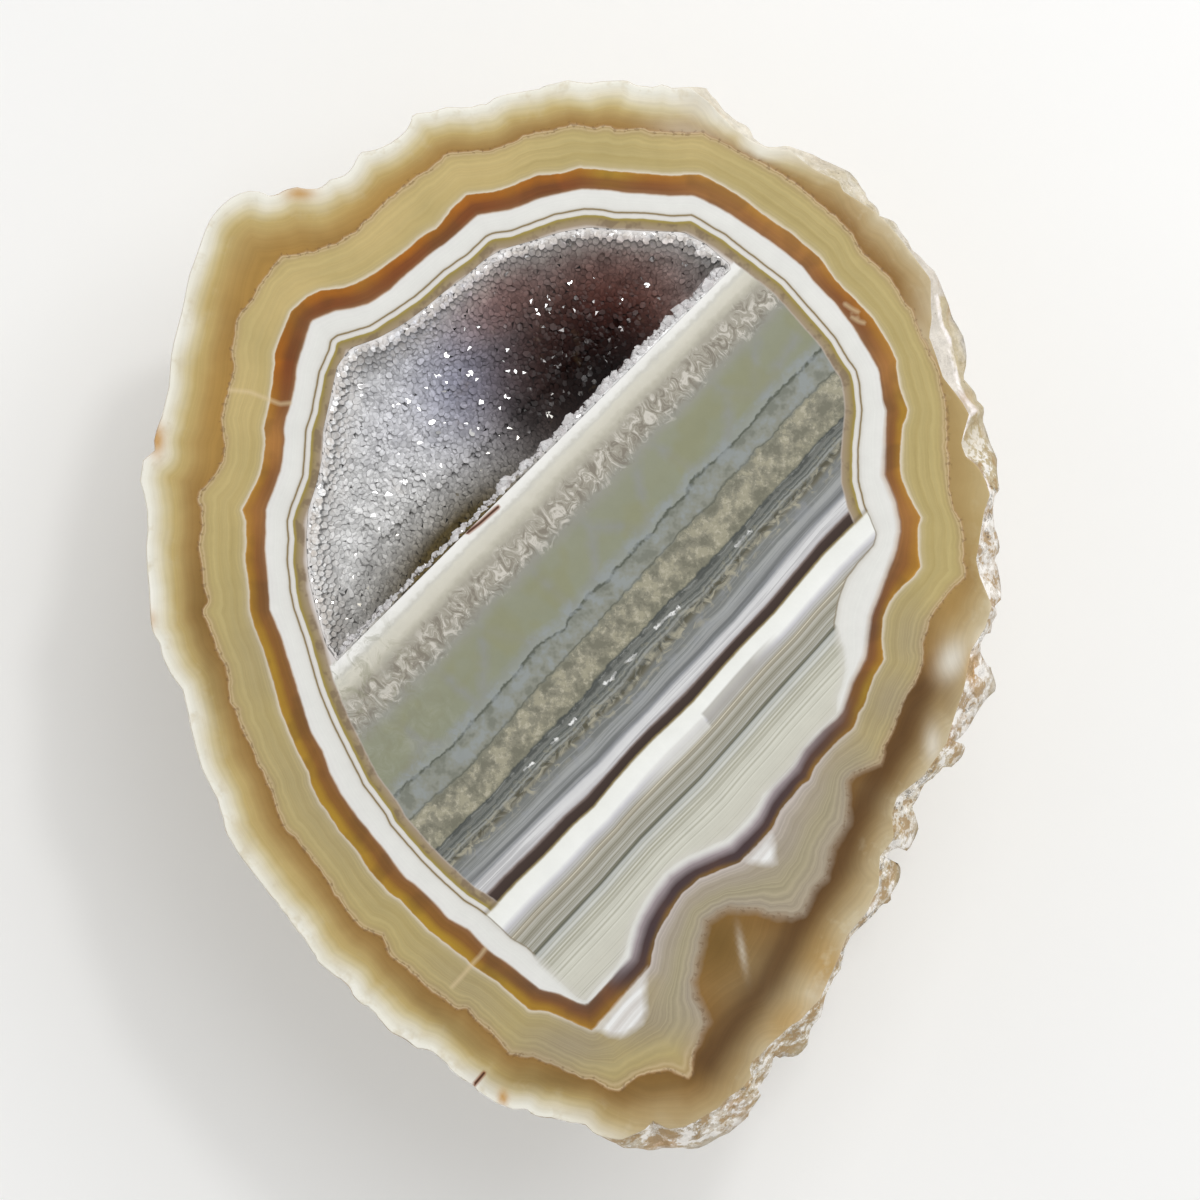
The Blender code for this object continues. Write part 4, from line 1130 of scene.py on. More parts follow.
colour = nodes.mix(inside_of(amber_edge, 0.06), colour, amber)
print("with the amber band:", len(nodes.tree.nodes), "nodes")

# %% The white ring and its wedges
white_share = share_between(white_edge, thread_edge)
white = laminated(nodes.ramp(white_share, WHITE_COLOURS), white_share, 9.0, 0.02, 31.0)
ring_soft = nodes.math("MULTIPLY_ADD", nodes.math("MAXIMUM", right_side, low_side), 0.3, 0.08)
colour = nodes.mix(inside_of(white_edge, ring_soft, 0.7), colour, white)
wedge_white = laid("#ECECEA", "#B3A89E", 0.5, over(ruled(layer, 1.1, 60.0), 0.36, 0.64))
colour = nodes.mix(over(wandering(wedge_depth, 1.0, 0.3), -0.15, 0.75), colour, wedge_white)
print("with the white ring:", len(nodes.tree.nodes), "nodes")

# %% [markdown]
# Inside the rings the silica settled as flat layers, because it came as a thin mud that sank. The ramps go
# over the layer's number. Feathery flecks, bluish halos and grainy stretches are laid over single layers:
# each row of the table is a colour and its strength, a pattern and the stretch of it that shows, and the
# layers it lies in.

# %% The agate's flat layers
loose = over(layer, 6.4, 9.8, 1.0, 0.14)
sway = wandering(0.0, 1.1, 0.45, 2.0, stretched(layer, 0.16))
jag = wandering(0.0, 0.7, 0.5, 3.0)
wavy = nodes.math("ADD", layer, nodes.times(nodes.math("ADD", sway, jag), loose))
layers = nodes.mix(over(layer, 6.4, 6.6), nodes.ramp(wavy, UPPER_LAYERS), nodes.ramp(wavy, LOWER_LAYERS))
layers = nodes.mix(over(layer, 17.6, 17.9), layers, nodes.ramp(layer, BOTTOM_LAYERS))
print("with the bare layers:", len(nodes.tree.nodes), "nodes")

# %% Patterns in the layers
ragged = wandering(layer, 1.6, 2.4, 3.0)
mottle = cloudy(2.4, 3.0, 0.65)
clumps = cloudy(2.0, 4.0, 0.7)
crumbs = cloudy(0.62, 3.0, 0.75)
flecks = nodes.noise(stretched(nodes.times(layer, 0.7), 1.0), 1.0, 4.0, 0.72, 1.0)
streaks = nodes.noise(stretched(nodes.times(nodes.blend(0.7, wavy, layer), 3.2), 0.06), 1.0, 3.0, 0.6)
chunks = nodes.noise(stretched(nodes.times(layer, 0.8), 0.6), 0.8, 4.0, 0.6, 0.6)
flames = nodes.noise(stretched(layer, 1.0), 1.8, 5.0, 0.7, 0.5)
lines = ruled(wavy, 0.45, 3.0)
fine_lines = ruled(layer, 0.22, 40.0)
lump_place = {"Vector": stretched(nodes.times(wavy, 0.8), 1.0), "Scale": 1 / 6.5, "Randomness": 0.9}
lumps = nodes.add("TexVoronoi", lump_place, feature="DISTANCE_TO_EDGE", voronoi_dimensions="2D")
between_lumps = over(wandering(lumps.outputs["Distance"], 1.5, 0.12), 0.0, 0.13, 1.0, 0.0)
print("with the patterns:", len(nodes.tree.nodes), "nodes")

# %% Touches on the layers
LAST = 99.0  # below the last layer
LAYER_TOUCHES = [
    ("#90918F", 0.6, between_lumps, 0.0, 1.0, layer, -5.8, -0.6, 0.8),
    ("#8F8F70", 0.6, cloudy(5.0, 2.0), 0.5, 0.62, layer, -5.5, -1.2, 0.6),
    ("#959B9C", 0.7, mottle, 0.47, 0.62, wavy, -1.0, 2.7, 0.4),
    ("#6B6E62", 0.55, mottle, 0.46, 0.36, wavy, 0.1, 2.7, 0.3),
    ("#D3CEC4", 0.85, flecks, 0.52, 0.62, ragged, -9.3, -6.6, 0.5),
    ("#7A7266", 0.7, flecks, 0.48, 0.38, ragged, -9.3, -6.6, 0.5),
    ("#A6A18B", 0.75, clumps, 0.49, 0.6, wavy, 3.0, 6.4, 0.2),
    ("#69685A", 0.6, clumps, 0.46, 0.36, wavy, 3.0, 6.4, 0.2),
    ("#535652", 0.7, lines, 0.5, 0.6, layer, 6.6, 9.2, 0.15),
    ("#9B9D99", 0.7, lines, 0.47, 0.38, layer, 6.6, 9.2, 0.15),
    ("#8F8C7A", 0.5, crumbs, 0.55, 0.64, layer, 7.6, 9.0, 0.3),
    ("#707371", 0.65, streaks, 0.5, 0.66, layer, 9.8, 12.6, 0.15),
    ("#A4A5A3", 0.55, streaks, 0.48, 0.32, layer, 9.8, 12.6, 0.15),
    ("#92959A", 0.4, mottle, 0.52, 0.64, layer, 9.9, 11.3, 0.3),
    ("#A5A4A6", 0.6, streaks, 0.52, 0.66, layer, 12.7, 13.8, 0.15),
    ("#ACA793", 0.85, chunks, 0.5, 0.62, ragged, 8.9, 10.0, 0.5),
    ("#545040", 0.85, chunks, 0.5, 0.4, wavy, 8.6, 9.5, 0.3),
    ("#85816F", 0.65, fine_lines, 0.5, 0.6, layer, 17.7, 21.2, 0.2),
    ("#C9C7C0", 0.6, fine_lines, 0.46, 0.36, layer, 17.7, 21.2, 0.2),
    ("#A5A391", 0.6, fine_lines, 0.53, 0.64, layer, 21.35, LAST, 0.15),
    ("#D9D8CD", 0.6, fine_lines, 0.46, 0.34, layer, 21.35, LAST, 0.15),
]
for tint, strength, pattern, low, high, number, start, end, soft in LAYER_TOUCHES:
    layers = laid(layers, tint, strength, over(pattern, low, high), within(number, start, end, soft))

step = nodes.math("SUBTRACT", over(along, 1.8, 2.1), over(along, 9.0, 13.0))
before_step = nodes.times(over(along, 1.9, 1.6), over(along, -9.0, -3.0))
corner = nodes.times(over(along, -12.0, -17.0), over(layer, 2.0, -1.0))
for tint, strength, masks in (
    ("#C0BAA6", 0.6, [over(crumbs, 0.5, 0.66), over(clumps, 0.42, 0.55), within(wavy, 3.0, 6.4, 0.2)]),
    ("#474A47", 0.85, [over(clumps, 0.56, 0.44, 0.35, 1.0), within(wavy, 6.55, 7.15, 0.12)]),
    ("#A6A29A", 0.75, [step, within(layer, 16.6, 17.9, 0.12)]),
    ("#DEDDD8", 0.7, [before_step, within(layer, 16.9, 18.3, 0.15)]),
    ("#A9AA9F", 0.35, [over(flames, 0.5, 0.7), corner]),
    ("#8A8972", 0.45, [over(flames, 0.47, 0.36), corner]),
):
    layers = laid(layers, tint, strength, *masks)
print("with", len(LAYER_TOUCHES), "touches and a few more:", len(nodes.tree.nodes), "nodes")

# %% Threads round the layers, fine lines and grain
threads = nodes.ramp(thread_edge, THREAD_COLOURS)
threads = laid(threads, "#75634F", 0.6, over(mottle, 0.5, 0.62), within(thread_edge, 0.95, 1.75, 0.1))
above_stripe = over(layer, 14.6, 15.4, 1.0, 0.0)
in_rings = nodes.times(over(thread_edge, 1.72, 1.88, 1.0, 0.0), above_stripe)
by_mouth = nodes.times(
    over(layer, CHORD_PLACE - 0.3, CHORD_PLACE - 0.1, 1.0, 0.0), over(mouth_gap, 4.0, 4.2, 1.0, 0.0)
)
heart = nodes.mix(nodes.math("MAXIMUM", in_rings, by_mouth), layers, threads)
beside_white = nodes.times(over(layer, 14.6, 15.4), over(layer, 20.8, 21.4, 1.0, 0.0))
heart = laid(heart, "#8F8470", 0.8, within(thread_edge, 0.0, 0.16, 0.05), beside_white)
heart_soft = nodes.math("MULTIPLY_ADD", over(layer, 20.8, 22.0), 0.5, 0.07)
colour = nodes.mix(inside_of(thread_edge, heart_soft), colour, heart)
colour = nodes.mix(over(pale_line, 0.0, 0.36, 0.55, 0.0), colour, "#D8C29A")
colour = nodes.mix(over(dark_line, 0.1, 0.35, 0.9, 0.0), colour, "#93552A")
colour = nodes.mix(over(dark_line, 0.02, 0.16, 0.9, 0.0), colour, "#241813")
# Painted highlight: white glints of reflected light along the glint lines.
glint = over(wandering(glint_line, 0.5, 0.7, 3.0), 0.02, 0.2, 1.0, 0.0)
colour = laid(colour, "#F4F4F2", 1.0, glint, over(clumps, 0.42, 0.54, 0.25, 0.95))
grain = effect(nodes, GRAIN, place, 2.6, 0.16)
colour = nodes.mix(1.0, colour, grain["Shade"], "MULTIPLY")
nodes.set(shader, {"Base Color": colour, "Roughness": nodes.math("MULTIPLY_ADD", grain["Height"], 0.08, 0.1)})
stone.data.materials.append(agate)
print("the polished face's material has", len(nodes.tree.nodes), "nodes")

# %% [markdown]
# ## The rind
# The rind is the outside of the stone: a rough, pale skin with ochre stains, flakes and dark flecks. It is a
# second material, because the saw's cut ends sharply at the worn edge, and because each point then needs
# only one of the two recipes, which renders faster.

# %% The rind's material
rind, nodes, shader = material_of("natural rind")
place = nodes.place()
rim_depth, _, _ = nodes.numbers("shell_depths")
layer, along, _ = nodes.numbers("layer_place")
thin_lit_edge, below_face, _ = nodes.numbers("surface_kind")
_, ochre_tone, _ = nodes.numbers("stain_tones")
ridge_line, outer_flake, _ = nodes.numbers("chips")
broad = cloudy(9.0, 3.0, 0.6)
bent = nodes.add("TexNoise", {"Vector": place, "Scale": 0.5, "Detail": 1.0}).outputs["Color"]
bent = nodes.add("VectorMath", {0: bent, 1: (2.4, 2.4, 2.4), 2: place}, operation="MULTIPLY_ADD").outputs[0]
flakes = nodes.add("TexVoronoi", {"Vector": bent, "Scale": 1 / 3.2})
flake_draw = nodes.add("SeparateColor", {0: flakes.outputs["Color"]})
crust_noise = cloudy(1.1, 4.0, 0.75)
clumps = cloudy(2.0, 4.0, 0.7)
near_top = over(wandering(below_face, 2.0, 4.0), 3.0, 5.0, 1.0, 0.0)
chip_side = nodes.times(over(along, 18.0, 21.0), over(layer, -2.0, 2.0), near_top)
# Painted highlight: a bright line of light along each chip ridge, over its own pale colour.
pale_lit_ridge = over(wandering(ridge_line, 0.6, 0.3), 0.1, 0.32, 1.0, 0.0)
broken = nodes.times(over(layer, 14.0, 20.0), near_top)
skin = nodes.ramp(broad, RIND_COLOURS)
for tint, strength, masks in (
    ("#B8A882", 0.4, [over(flake_draw.outputs[0], 0.62, 0.66)]),
    ("#DDD7CE", 0.4, [over(flake_draw.outputs[1], 0.66, 0.7)]),
    ("#8A7B60", 0.5, [over(crust_noise, 0.47, 0.36)]),
    ("#EAE4D8", 0.5, [over(crust_noise, 0.53, 0.66)]),
    ("#EFE6DF", 0.5, [within(clumps, 0.49, 0.51, 0.01)]),
    # painted light through the thin edge, over the chips near the rim
    ("#E6DFCF", 0.75, [thin_lit_edge, over(rim_depth, 4.0, 0.5)]),
    ("#DAD3CA", 0.7, [chip_side, over(outer_flake, 0.1, -0.3)]),
    ("#BBAB84", 0.75, [chip_side, over(outer_flake, -0.1, 0.2)]),
    ("#FBF4F0", 1.0, [pale_lit_ridge, near_top]),
    ("#A87A3C", 0.6, [effect(nodes, STAIN, place, 6.0, 0.5)["Stain"]]),
    ("#C08A2C", 0.9, [ochre_tone, near_top]),
    ("#A8895C", 0.85, [broken, over(clumps, 0.51, 0.56)]),
    ("#F6F2EC", 0.9, [broken, over(clumps, 0.48, 0.43)]),
    ("#3E3527", 0.85, [broken, within(crust_noise, 0.41, 0.445, 0.015), over(broad, 0.48, 0.55)]),
    ("#5A4A35", 0.55, [effect(nodes, SPECKS, place, 1.4, 0.3)["Specks"]]),
):
    skin = laid(skin, tint, strength, *masks)
skin_grain = effect(nodes, GRAIN, place, 1.6, 0.7)
skin = nodes.mix(1.0, skin, skin_grain["Shade"], "MULTIPLY")
height = nodes.math("ADD", nodes.times(skin_grain["Height"], 0.4), nodes.times(crust_noise, 0.25))
height = nodes.math("MULTIPLY_ADD", flakes.outputs["Distance"], 0.55, height)
bump = nodes.add("Bump", {"Height": height, "Strength": 0.8, "Distance": 1.2 * MM})
nodes.set(shader, {"Base Color": skin, "Normal": bump.outputs[0], "Roughness": 0.62})
stone.data.materials.append(rind)
is_rind = np.arange(len(stone.data.polygons)) >= flat_count + RIM_POINTS
stone.data.polygons.foreach_set("material_index", is_rind.astype(np.int32))
print("the rind's material has", len(nodes.tree.nodes), "nodes")

# %% [markdown]
# ## The crystal crust
# Thousands of tiny quartz points grew inwards from the hollow's wall until they touched, so a druse is a
# skin of small pyramids that meet. Scattering copies of one crystal would leave gaps and hidden faces.
# Instead the wall is divided into cells, like a comb, and every cell gets a crystal of its own. The cells
# come from a triangulation of seeds that are scattered evenly as seen from above the hollow's mouth.

# %% The crust's surface
RIM_INSET = 1.15  # the crust's thickness round the arc
CHORD_INSET = 0.3  # and at the straight side
LIP_GAP = 0.14  # from the mouth's edge to the outermost crystals
BACK_GAP = 0.03  # from the stone to the crust's back
CRUST_TOP = DEPTH - 0.04
LUMP_SPACING, LUMP_RISE = 3.2, 0.9
LIP_POINTS = 250
CRUST_SEED = 11
NARROW = 7.0  # where the mouth is narrower than this on each side, crystals fill the hollow's depth
SHALLOWEST = 0.15  # the share of the depth that they leave open at least
THIN_WIDTH, GROWING_WIDTH = 0.6, 2.4  # from the straight side, where the crust is thin and where it thickens
SKIN_DROP, PIT_SIZE, PIT_DEPTH = 0.15, 0.8, 0.25


def crust_inset(places):
    """The crust's thickness, by distance from the straight side."""
    from_chord = CHORD_PLACE - (places + CENTRE) @ DIAGONAL
    share = np.clip((from_chord - THIN_WIDTH) / GROWING_WIDTH, 0, 1)
    return CHORD_INSET + (RIM_INSET - CHORD_INSET) * share * share * (3 - 2 * share)


def crust_surface(places):
    """The same places, with the height of the crust's skin under them."""
    middle = spine_point(places)
    gap = places - middle
    distance = np.maximum(np.hypot(*gap.T), 1e-6)
    reach = ray_lengths(middle, gap / distance[:, None], MOUTH_LINE, np.fmin)
    inset = crust_inset(middle + gap / distance[:, None] * reach[:, None])
    share = np.clip(distance / (reach - inset), 0, 1)
    turn = np.arccos(np.clip((share - HOLLOW_FLOOR) / (1 - HOLLOW_FLOOR), 0, 1) ** (1 / HOLLOW_FULLNESS))
    depth = (HOLLOW_DEPTH - inset - (DEPTH - CRUST_TOP)) * np.sin(turn)
    depth *= np.clip(depth_inside(middle, MOUTH) / NARROW, SHALLOWEST, 1)
    solid = np.column_stack([places, CRUST_TOP - depth])
    solid[:, 2] += LUMP_RISE * pebbles_at(solid, LUMP_SPACING) * np.clip(depth / 2, 0, 1)
    solid[:, 2] -= SKIN_DROP + PIT_DEPTH * np.clip(pebbles_at(solid, PIT_SIZE), 0, 1)
    return solid


lip_outer = resampled(MOUTH_LINE[:0:-1], LIP_POINTS)
lip_middle = spine_point(lip_outer)
lip_reach = np.hypot(*(lip_outer - lip_middle).T)
lip_way = (lip_outer - lip_middle) / lip_reach[:, None]
generator = np.random.default_rng(CRUST_SEED)
lip_inner = lip_middle + lip_way * (lip_reach - LIP_GAP - generator.uniform(0, 0.08, LIP_POINTS))[:, None]
print("the lip of the crust has", LIP_POINTS, "points")

# %% Scatter the crystals' seeds
SMALL_GAP, LARGE_GAP = (0.26, 0.52), 0.56
SMALL_TRIES, LARGE_TRIES = 60000, 3000
LARGE_CRYSTALS = 420
LARGE_ROOM = 0.62  # of their gap, which small crystals keep clear of


def scattered(tries, gaps, taken):
    """Places at least a gap apart inside the lip. taken holds places and how much room each one keeps."""
    low, high = lip_inner.min(0), lip_inner.max(0)
    darts = low + generator.random((tries, 2)) * (high - low)
    darts = darts[depth_inside(darts, lip_inner) > gaps[1] * 0.5]
    chosen = []
    for (x, y), gap in zip(darts, generator.uniform(*gaps, len(darts))):
        column, row = int(x // LARGE_GAP), int(y // LARGE_GAP)
        cells = [(column + i, row + j) for i in (-1, 0, 1) for j in (-1, 0, 1)]
        near = (other for cell in cells for other in taken.get(cell, ()))
        if all((x - o[0]) ** 2 + (y - o[1]) ** 2 > max(gap, o[2]) ** 2 for o in near):
            taken.setdefault((column, row), []).append((x, y, gap))
            chosen.append((x, y))
    return chosen


large = scattered(LARGE_TRIES, (LARGE_GAP, LARGE_GAP), {})[:LARGE_CRYSTALS]
taken = {}
for x, y in large:
    taken.setdefault((int(x // LARGE_GAP), int(y // LARGE_GAP)), []).append((x, y, LARGE_GAP * LARGE_ROOM))
small = scattered(SMALL_TRIES, SMALL_GAP, taken)
print(len(large), "large and", len(small), "small crystals")

# %% Measure the cells
seeds = np.array(large + small)
flat_sites = np.vstack([lip_inner, seeds])
sites = crust_surface(flat_sites)
sites[:LIP_POINTS, 2] = CRUST_TOP - generator.uniform(0.0, 0.2, LIP_POINTS)
map_points, cell_triangles, where = triangulated(
    [lip_inner], [], seeds, lambda middles: is_inside(middles, lip_inner)
)
back = np.zeros(len(map_points), int)
for old, new in where.items():
    back[new] = old
cell_triangles = back[cell_triangles]
middles = sites[cell_triangles].mean(axis=1)
normal = np.cross(sites[cell_triangles[:, 1]] - sites[cell_triangles[:, 0]],
                  sites[cell_triangles[:, 2]] - sites[cell_triangles[:, 0]])
site_normal = np.zeros_like(sites)
cell_size, cell_count = np.zeros(len(sites)), np.zeros(len(sites))
for corner in range(3):
    gaps = (middles - sites[cell_triangles[:, corner]])[:, :2]
    np.add.at(site_normal, cell_triangles[:, corner], normal)
    np.add.at(cell_size, cell_triangles[:, corner], np.hypot(*gaps.T))
    np.add.at(cell_count, cell_triangles[:, corner], 1)
cell_size /= np.maximum(cell_count, 1)
skin_slope = -site_normal[:, :2] / np.maximum(site_normal[:, 2:], 1e-6)
print("cells are", round(float(2 * cell_size.mean()), 2), "mm wide on average")

# %% [markdown]
# On a steep wall the crystals stand like the steps of a stair, each with its own top. So each cell is a
# small column with a low pyramid on it. Its top follows the wall's slope only a little, and narrow faces
# join it to its neighbours. The larger crystals have one flat top, turned so that some of them mirror the
# window.

# %% Give every cell its crystal
FOLLOWED, STEEPEST = 0.85, 1.6  # the share of the wall's slope that a top follows, and the limit
SMALL_TILT, TIP_HEIGHT, TIP_LEAN = 0.26, (0.1, 0.6), 0.4
TO_LIGHT, LARGE_TILT, LARGE_LIFT = (0.16, 0.21), 0.16, 0.12  # the slant that mirrors the window light upwards
GROOVE = (0.01, 0.06)  # how far a cell's corners draw back from its neighbours

tilt = skin_slope * FOLLOWED
tilt *= np.minimum(1, STEEPEST / np.maximum(np.hypot(*tilt.T), 1e-6))[:, None]
tilt += generator.normal(size=(len(sites), 2)) * SMALL_TILT
rise = cell_size * generator.uniform(*TIP_HEIGHT, len(sites))
lean = generator.normal(size=(len(sites), 2)) * TIP_LEAN * cell_size[:, None]
large_ones = np.arange(LIP_POINTS, LIP_POINTS + len(large))
tilt[large_ones] = -np.array(TO_LIGHT) + generator.normal(size=(len(large), 2)) * LARGE_TILT
rise[large_ones] = LARGE_LIFT
tips = sites + np.column_stack([lean, rise + np.sum(lean * tilt, axis=1)])
tips[:LIP_POINTS] = sites[:LIP_POINTS]
draw_back = generator.uniform(*GROOVE, len(sites))
corners = []
for corner in range(3):
    cell = cell_triangles[:, corner]
    inward = (sites[cell, :2] - middles[:, :2]) * (1 - draw_back[cell])[:, None]
    lifted = np.where(np.isin(cell, large_ones), LARGE_LIFT, 0)
    heights = sites[cell, 2] + lifted - np.sum(inward * tilt[cell], axis=1)
    corners.append(np.column_stack([sites[cell, :2] - inward, heights]))
corners = np.stack(corners, axis=1).reshape(-1, 3)
tips[:, 2] = np.minimum(tips[:, 2], CRUST_TOP)
corners[:, 2] = np.minimum(corners[:, 2], CRUST_TOP - 0.02)
print("the crystals rise", round(float(rise.mean()), 2), "mm above the skin on average")

# %% Write the crystals' faces
left_of = {}
for number, triangle in enumerate(cell_triangles):
    for spot in range(3):
        left_of[int(triangle[spot]), int(triangle[(spot + 1) % 3])] = (number, spot)
corner_start = len(tips)
middle_start = corner_start + len(corners)
crust_faces, owners, lip_middles = [], [], []


def corner_of(number, spot):
    return corner_start + 3 * number + spot % 3


for (first, second), (left, spot) in left_of.items():
    first_left, second_left = corner_of(left, spot), corner_of(left, spot + 1)
    right = left_of.get((second, first))
    if right is None:
        number = middle_start + len(lip_middles)
        lip_middles.append(((sites[first] + sites[second]) / 2, first, second))
        crust_faces += [(first, number, first_left), (second, second_left, number),
                        (number, second_left, first_left)]
        owners += [first, second, -1]
    elif first < second:
        second_right, first_right = corner_of(*right), corner_of(right[0], right[1] + 1)
        crust_faces += [(first, first_right, first_left), (second, second_left, second_right),
                        (first_right, second_right, second_left, first_left)]
        owners += [first, second, -1]
crust_faces += [tuple(corner_of(number, spot) for spot in range(3)) for number in range(len(cell_triangles))]
owners += [-1] * len(cell_triangles)
crust_points = [tips, corners, np.array([place for place, _, _ in lip_middles])]
print(len(crust_faces), "crystal facets,", len(lip_middles), "lip points")

# %% Close the crust behind the crystals
follow = {first: (middle_start + number, second) for number, (_, first, second) in enumerate(lip_middles)}
inner_ring, spot = [], 0
while len(inner_ring) < 2 * len(lip_middles):
    number, following = follow[spot]
    inner_ring += [spot, number]
    spot = following
inner_ring = np.array(inner_ring)
outer_mouth = np.empty((len(inner_ring), 2))
outer_mouth[0::2] = lip_outer
outer_mouth[1::2] = (lip_outer + np.roll(lip_outer, -1, axis=0)) / 2
crust_back = wall_rings(outer_mouth, WALL_LEVELS, BACK_GAP, CRUST_TOP)
add_rings(crust_points, crust_faces, crust_back, inner_ring, inward=True)
owners += [-1] * (len(crust_faces) - len(owners))
crust_points = np.vstack(crust_points)
crust = object_of("crystal_crust", crust_points, crust_faces)
crust.data.calc_loop_triangles()
print("the crust has", len(crust.data.loop_triangles), "triangles")

# %% [markdown]
# Each facet also gets a few random numbers, because in a real druse one facet mirrors the light while its
# neighbour stays dark. Soft patches say where the hollow looks dark, warm, violet or olive.

# %% Numbers of the crystal facets
WINDOW_HALFWAY = np.array([0.17, 0.21, 1.0]) / math.hypot(0.17, 0.21, 1.0)
LARGE_MIRROR, SMALL_MIRROR = 0.93, 0.97  # how squarely a facet has to face the window to flash
LARGE_CHANCE, PART_CHANCE, SMALL_CHANCE = 0.9, 0.5, 0.87  # a draw above these flashes, where it faces it
# painted shade: dark facets, most of them on the narrow faces in the gaps between crystals
DARK_ODDS, SHADED_SLIVER_ODDS, SLIVER_DROP = 0.01, 0.16, 0.5  # most dark slivers are between crystals
MARKED = 0.99  # the number of a facet that flashes, or that is dark
SOFTNESS = (0.6, 0.96)  # light spreads inside the crystals, so their faces differ less than painted ones

corner_places = [crust_points[[face[i] for face in crust_faces]] for i in range(3)]
facet_normal = np.cross(corner_places[1] - corner_places[0], corner_places[2] - corner_places[0])
facet_normal /= np.maximum(np.linalg.norm(facet_normal, axis=1), 1e-9)[:, None]
facet_draw = generator.random((len(crust_faces), 3))
crystal_draw = generator.random(len(sites) + 1)
owners = np.array(owners)
is_top = owners >= 0
drop = np.ptp(np.array(corner_places)[:, :, 2], axis=0)
dark_odds = np.where(is_top, DARK_ODDS, np.where(drop < SLIVER_DROP, SHADED_SLIVER_ODDS, 0.0))
facet_draw[:, 2] = np.where(facet_draw[:, 2] < dark_odds, MARKED, facet_draw[:, 2] * 0.95)
mirrors, draw = facet_normal @ WINDOW_HALFWAY, facet_draw[:, 0]
large_flash = (mirrors > LARGE_MIRROR) & (crystal_draw[owners] > LARGE_CHANCE) & (draw > PART_CHANCE)
small_flash = (mirrors > SMALL_MIRROR) & (draw > SMALL_CHANCE)
flashes = is_top & np.where(np.isin(owners, large_ones), large_flash, small_flash)
facet_draw[:, 0] = np.where(flashes, MARKED, np.where(is_top, draw * 0.96, 0.6 + 0.36 * draw))
facet_draw[:, 1] = crystal_draw[owners]
softness = np.where(is_top, *SOFTNESS)[:, None]
soft_normal = facet_normal * (1 - softness) + softness * np.array([0.0, 0.0, 1.0])
soft_normal = np.where(flashes[:, None], facet_normal, soft_normal)
soft_normal /= np.linalg.norm(soft_normal, axis=1)[:, None]
set_numbers(crust, "facet", facet_draw.T, "FACE")
set_numbers(crust, "soft_normal", soft_normal.T, "FACE")
print(int(flashes.sum()), "facets flash")

# %% Where the druse looks dark or coloured
# painted shade: where the hollow's depth and its steep straight side keep the light out
SHADE_CLOUDS = [(4.4, 22.5, 9, 12, 45, 1.0), (-3.5, 20.5, 4, 4.5, 45, 0.6)]
WARM_CLOUDS = [(3, 27.5, 8, 7, 45, 1.0), (-5, 31, 6, 4, 20, 0.4)]
VIOLET_CLOUDS = [(-10, 23.5, 8, 7, 40, 0.95), (-16, 20, 6, 6, 0, 0.35)]
OLIVE_CLOUDS = [(-11.5, 6.6, 14, 4.5, 45, 1.0)]
flat = crust_points[:, :2]
from_chord = CHORD_PLACE - (flat + CENTRE) @ DIAGONAL
from_arc = line_distance(flat, placed(HOLLOW_ARC))
tones = (SHADE_CLOUDS, WARM_CLOUDS, VIOLET_CLOUDS)
set_numbers(crust, "druse_tones", [clouds(flat, spots) for spots in tones])
set_numbers(crust, "druse_place", [clouds(flat, OLIVE_CLOUDS), from_arc, from_chord])
print("the druse's points reach", round(float(from_chord.max()), 1), "mm from the straight side")

# %% [markdown]
# ## The druse
# Quartz is clear, but a skin of small crystals scatters so much light that it looks pale grey. So the
# finish is opaque and glossy, with its colour set by the soft patches and by each facet's own numbers. A
# few facets are mirrors that face the window, and a few are painted dark: painted shade in the gaps between
# crystals, and the dark seen where one looks into a crystal instead of at its face. The painted shade is a
# power of ten, because light that goes round a bend in the hollow is lost by a share at each step.

# %% The druse's material
druse, nodes, shader = material_of("druse crystals")
place = nodes.place()
shade_tone, warm_tone, violet_tone = nodes.numbers("druse_tones")
facet, crystal, third = nodes.numbers("facet")
olive_tone, from_rim, from_chord = nodes.numbers("druse_place")
inner = nodes.times(over(from_rim, 0.3, 2.2), over(from_chord, 0.4, 1.3))
shade_tone, warm_tone = nodes.times(shade_tone, inner), nodes.times(warm_tone, inner)
colour = nodes.ramp(cloudy(2.2, 4.0, 0.6), [(0.32, "#DADADA"), (0.5, "#F0F0EF"), (0.66, "#FFFFFF")])
colour = nodes.mix(violet_tone, colour, "#B4B6CC")
colour = nodes.mix(over(olive_tone, 0.0, 0.85), colour, "#5F5233")
# The painted shade darkens all three channels; the warm patches tint green and blue down, for the crystals'
# brown colour.
darkness = ((shade_tone, 2.1), (warm_tone, 0.6), (warm_tone, 0.75))
red, green, blue = [nodes.math("POWER", 10.0, nodes.times(tone, -strength)) for tone, strength in darkness]
deep = nodes.vector(red, nodes.times(red, green), nodes.times(red, blue))
colour = nodes.mix(1.0, colour, deep, "MULTIPLY")
facet_shade = nodes.math("MULTIPLY_ADD", facet, 0.5, 0.8)
crystal_shade = nodes.math("MULTIPLY_ADD", crystal, 0.3, 0.88)
colour = nodes.shaded(colour, nodes.times(facet_shade, crystal_shade))
rim_pale = nodes.times(over(from_rim, 0.6, 3.2, 1.0, 0.0), over(cloudy(1.1, 4.0, 0.65), 0.38, 0.56))
colour = laid(colour, "#C4BBB2", rim_pale, nodes.math("MULTIPLY_ADD", crystal, 0.4, 0.5))
colour = nodes.mix(over(from_rim, 0.15, 0.5, 0.8, 0.0), colour, "#E6E2E0")
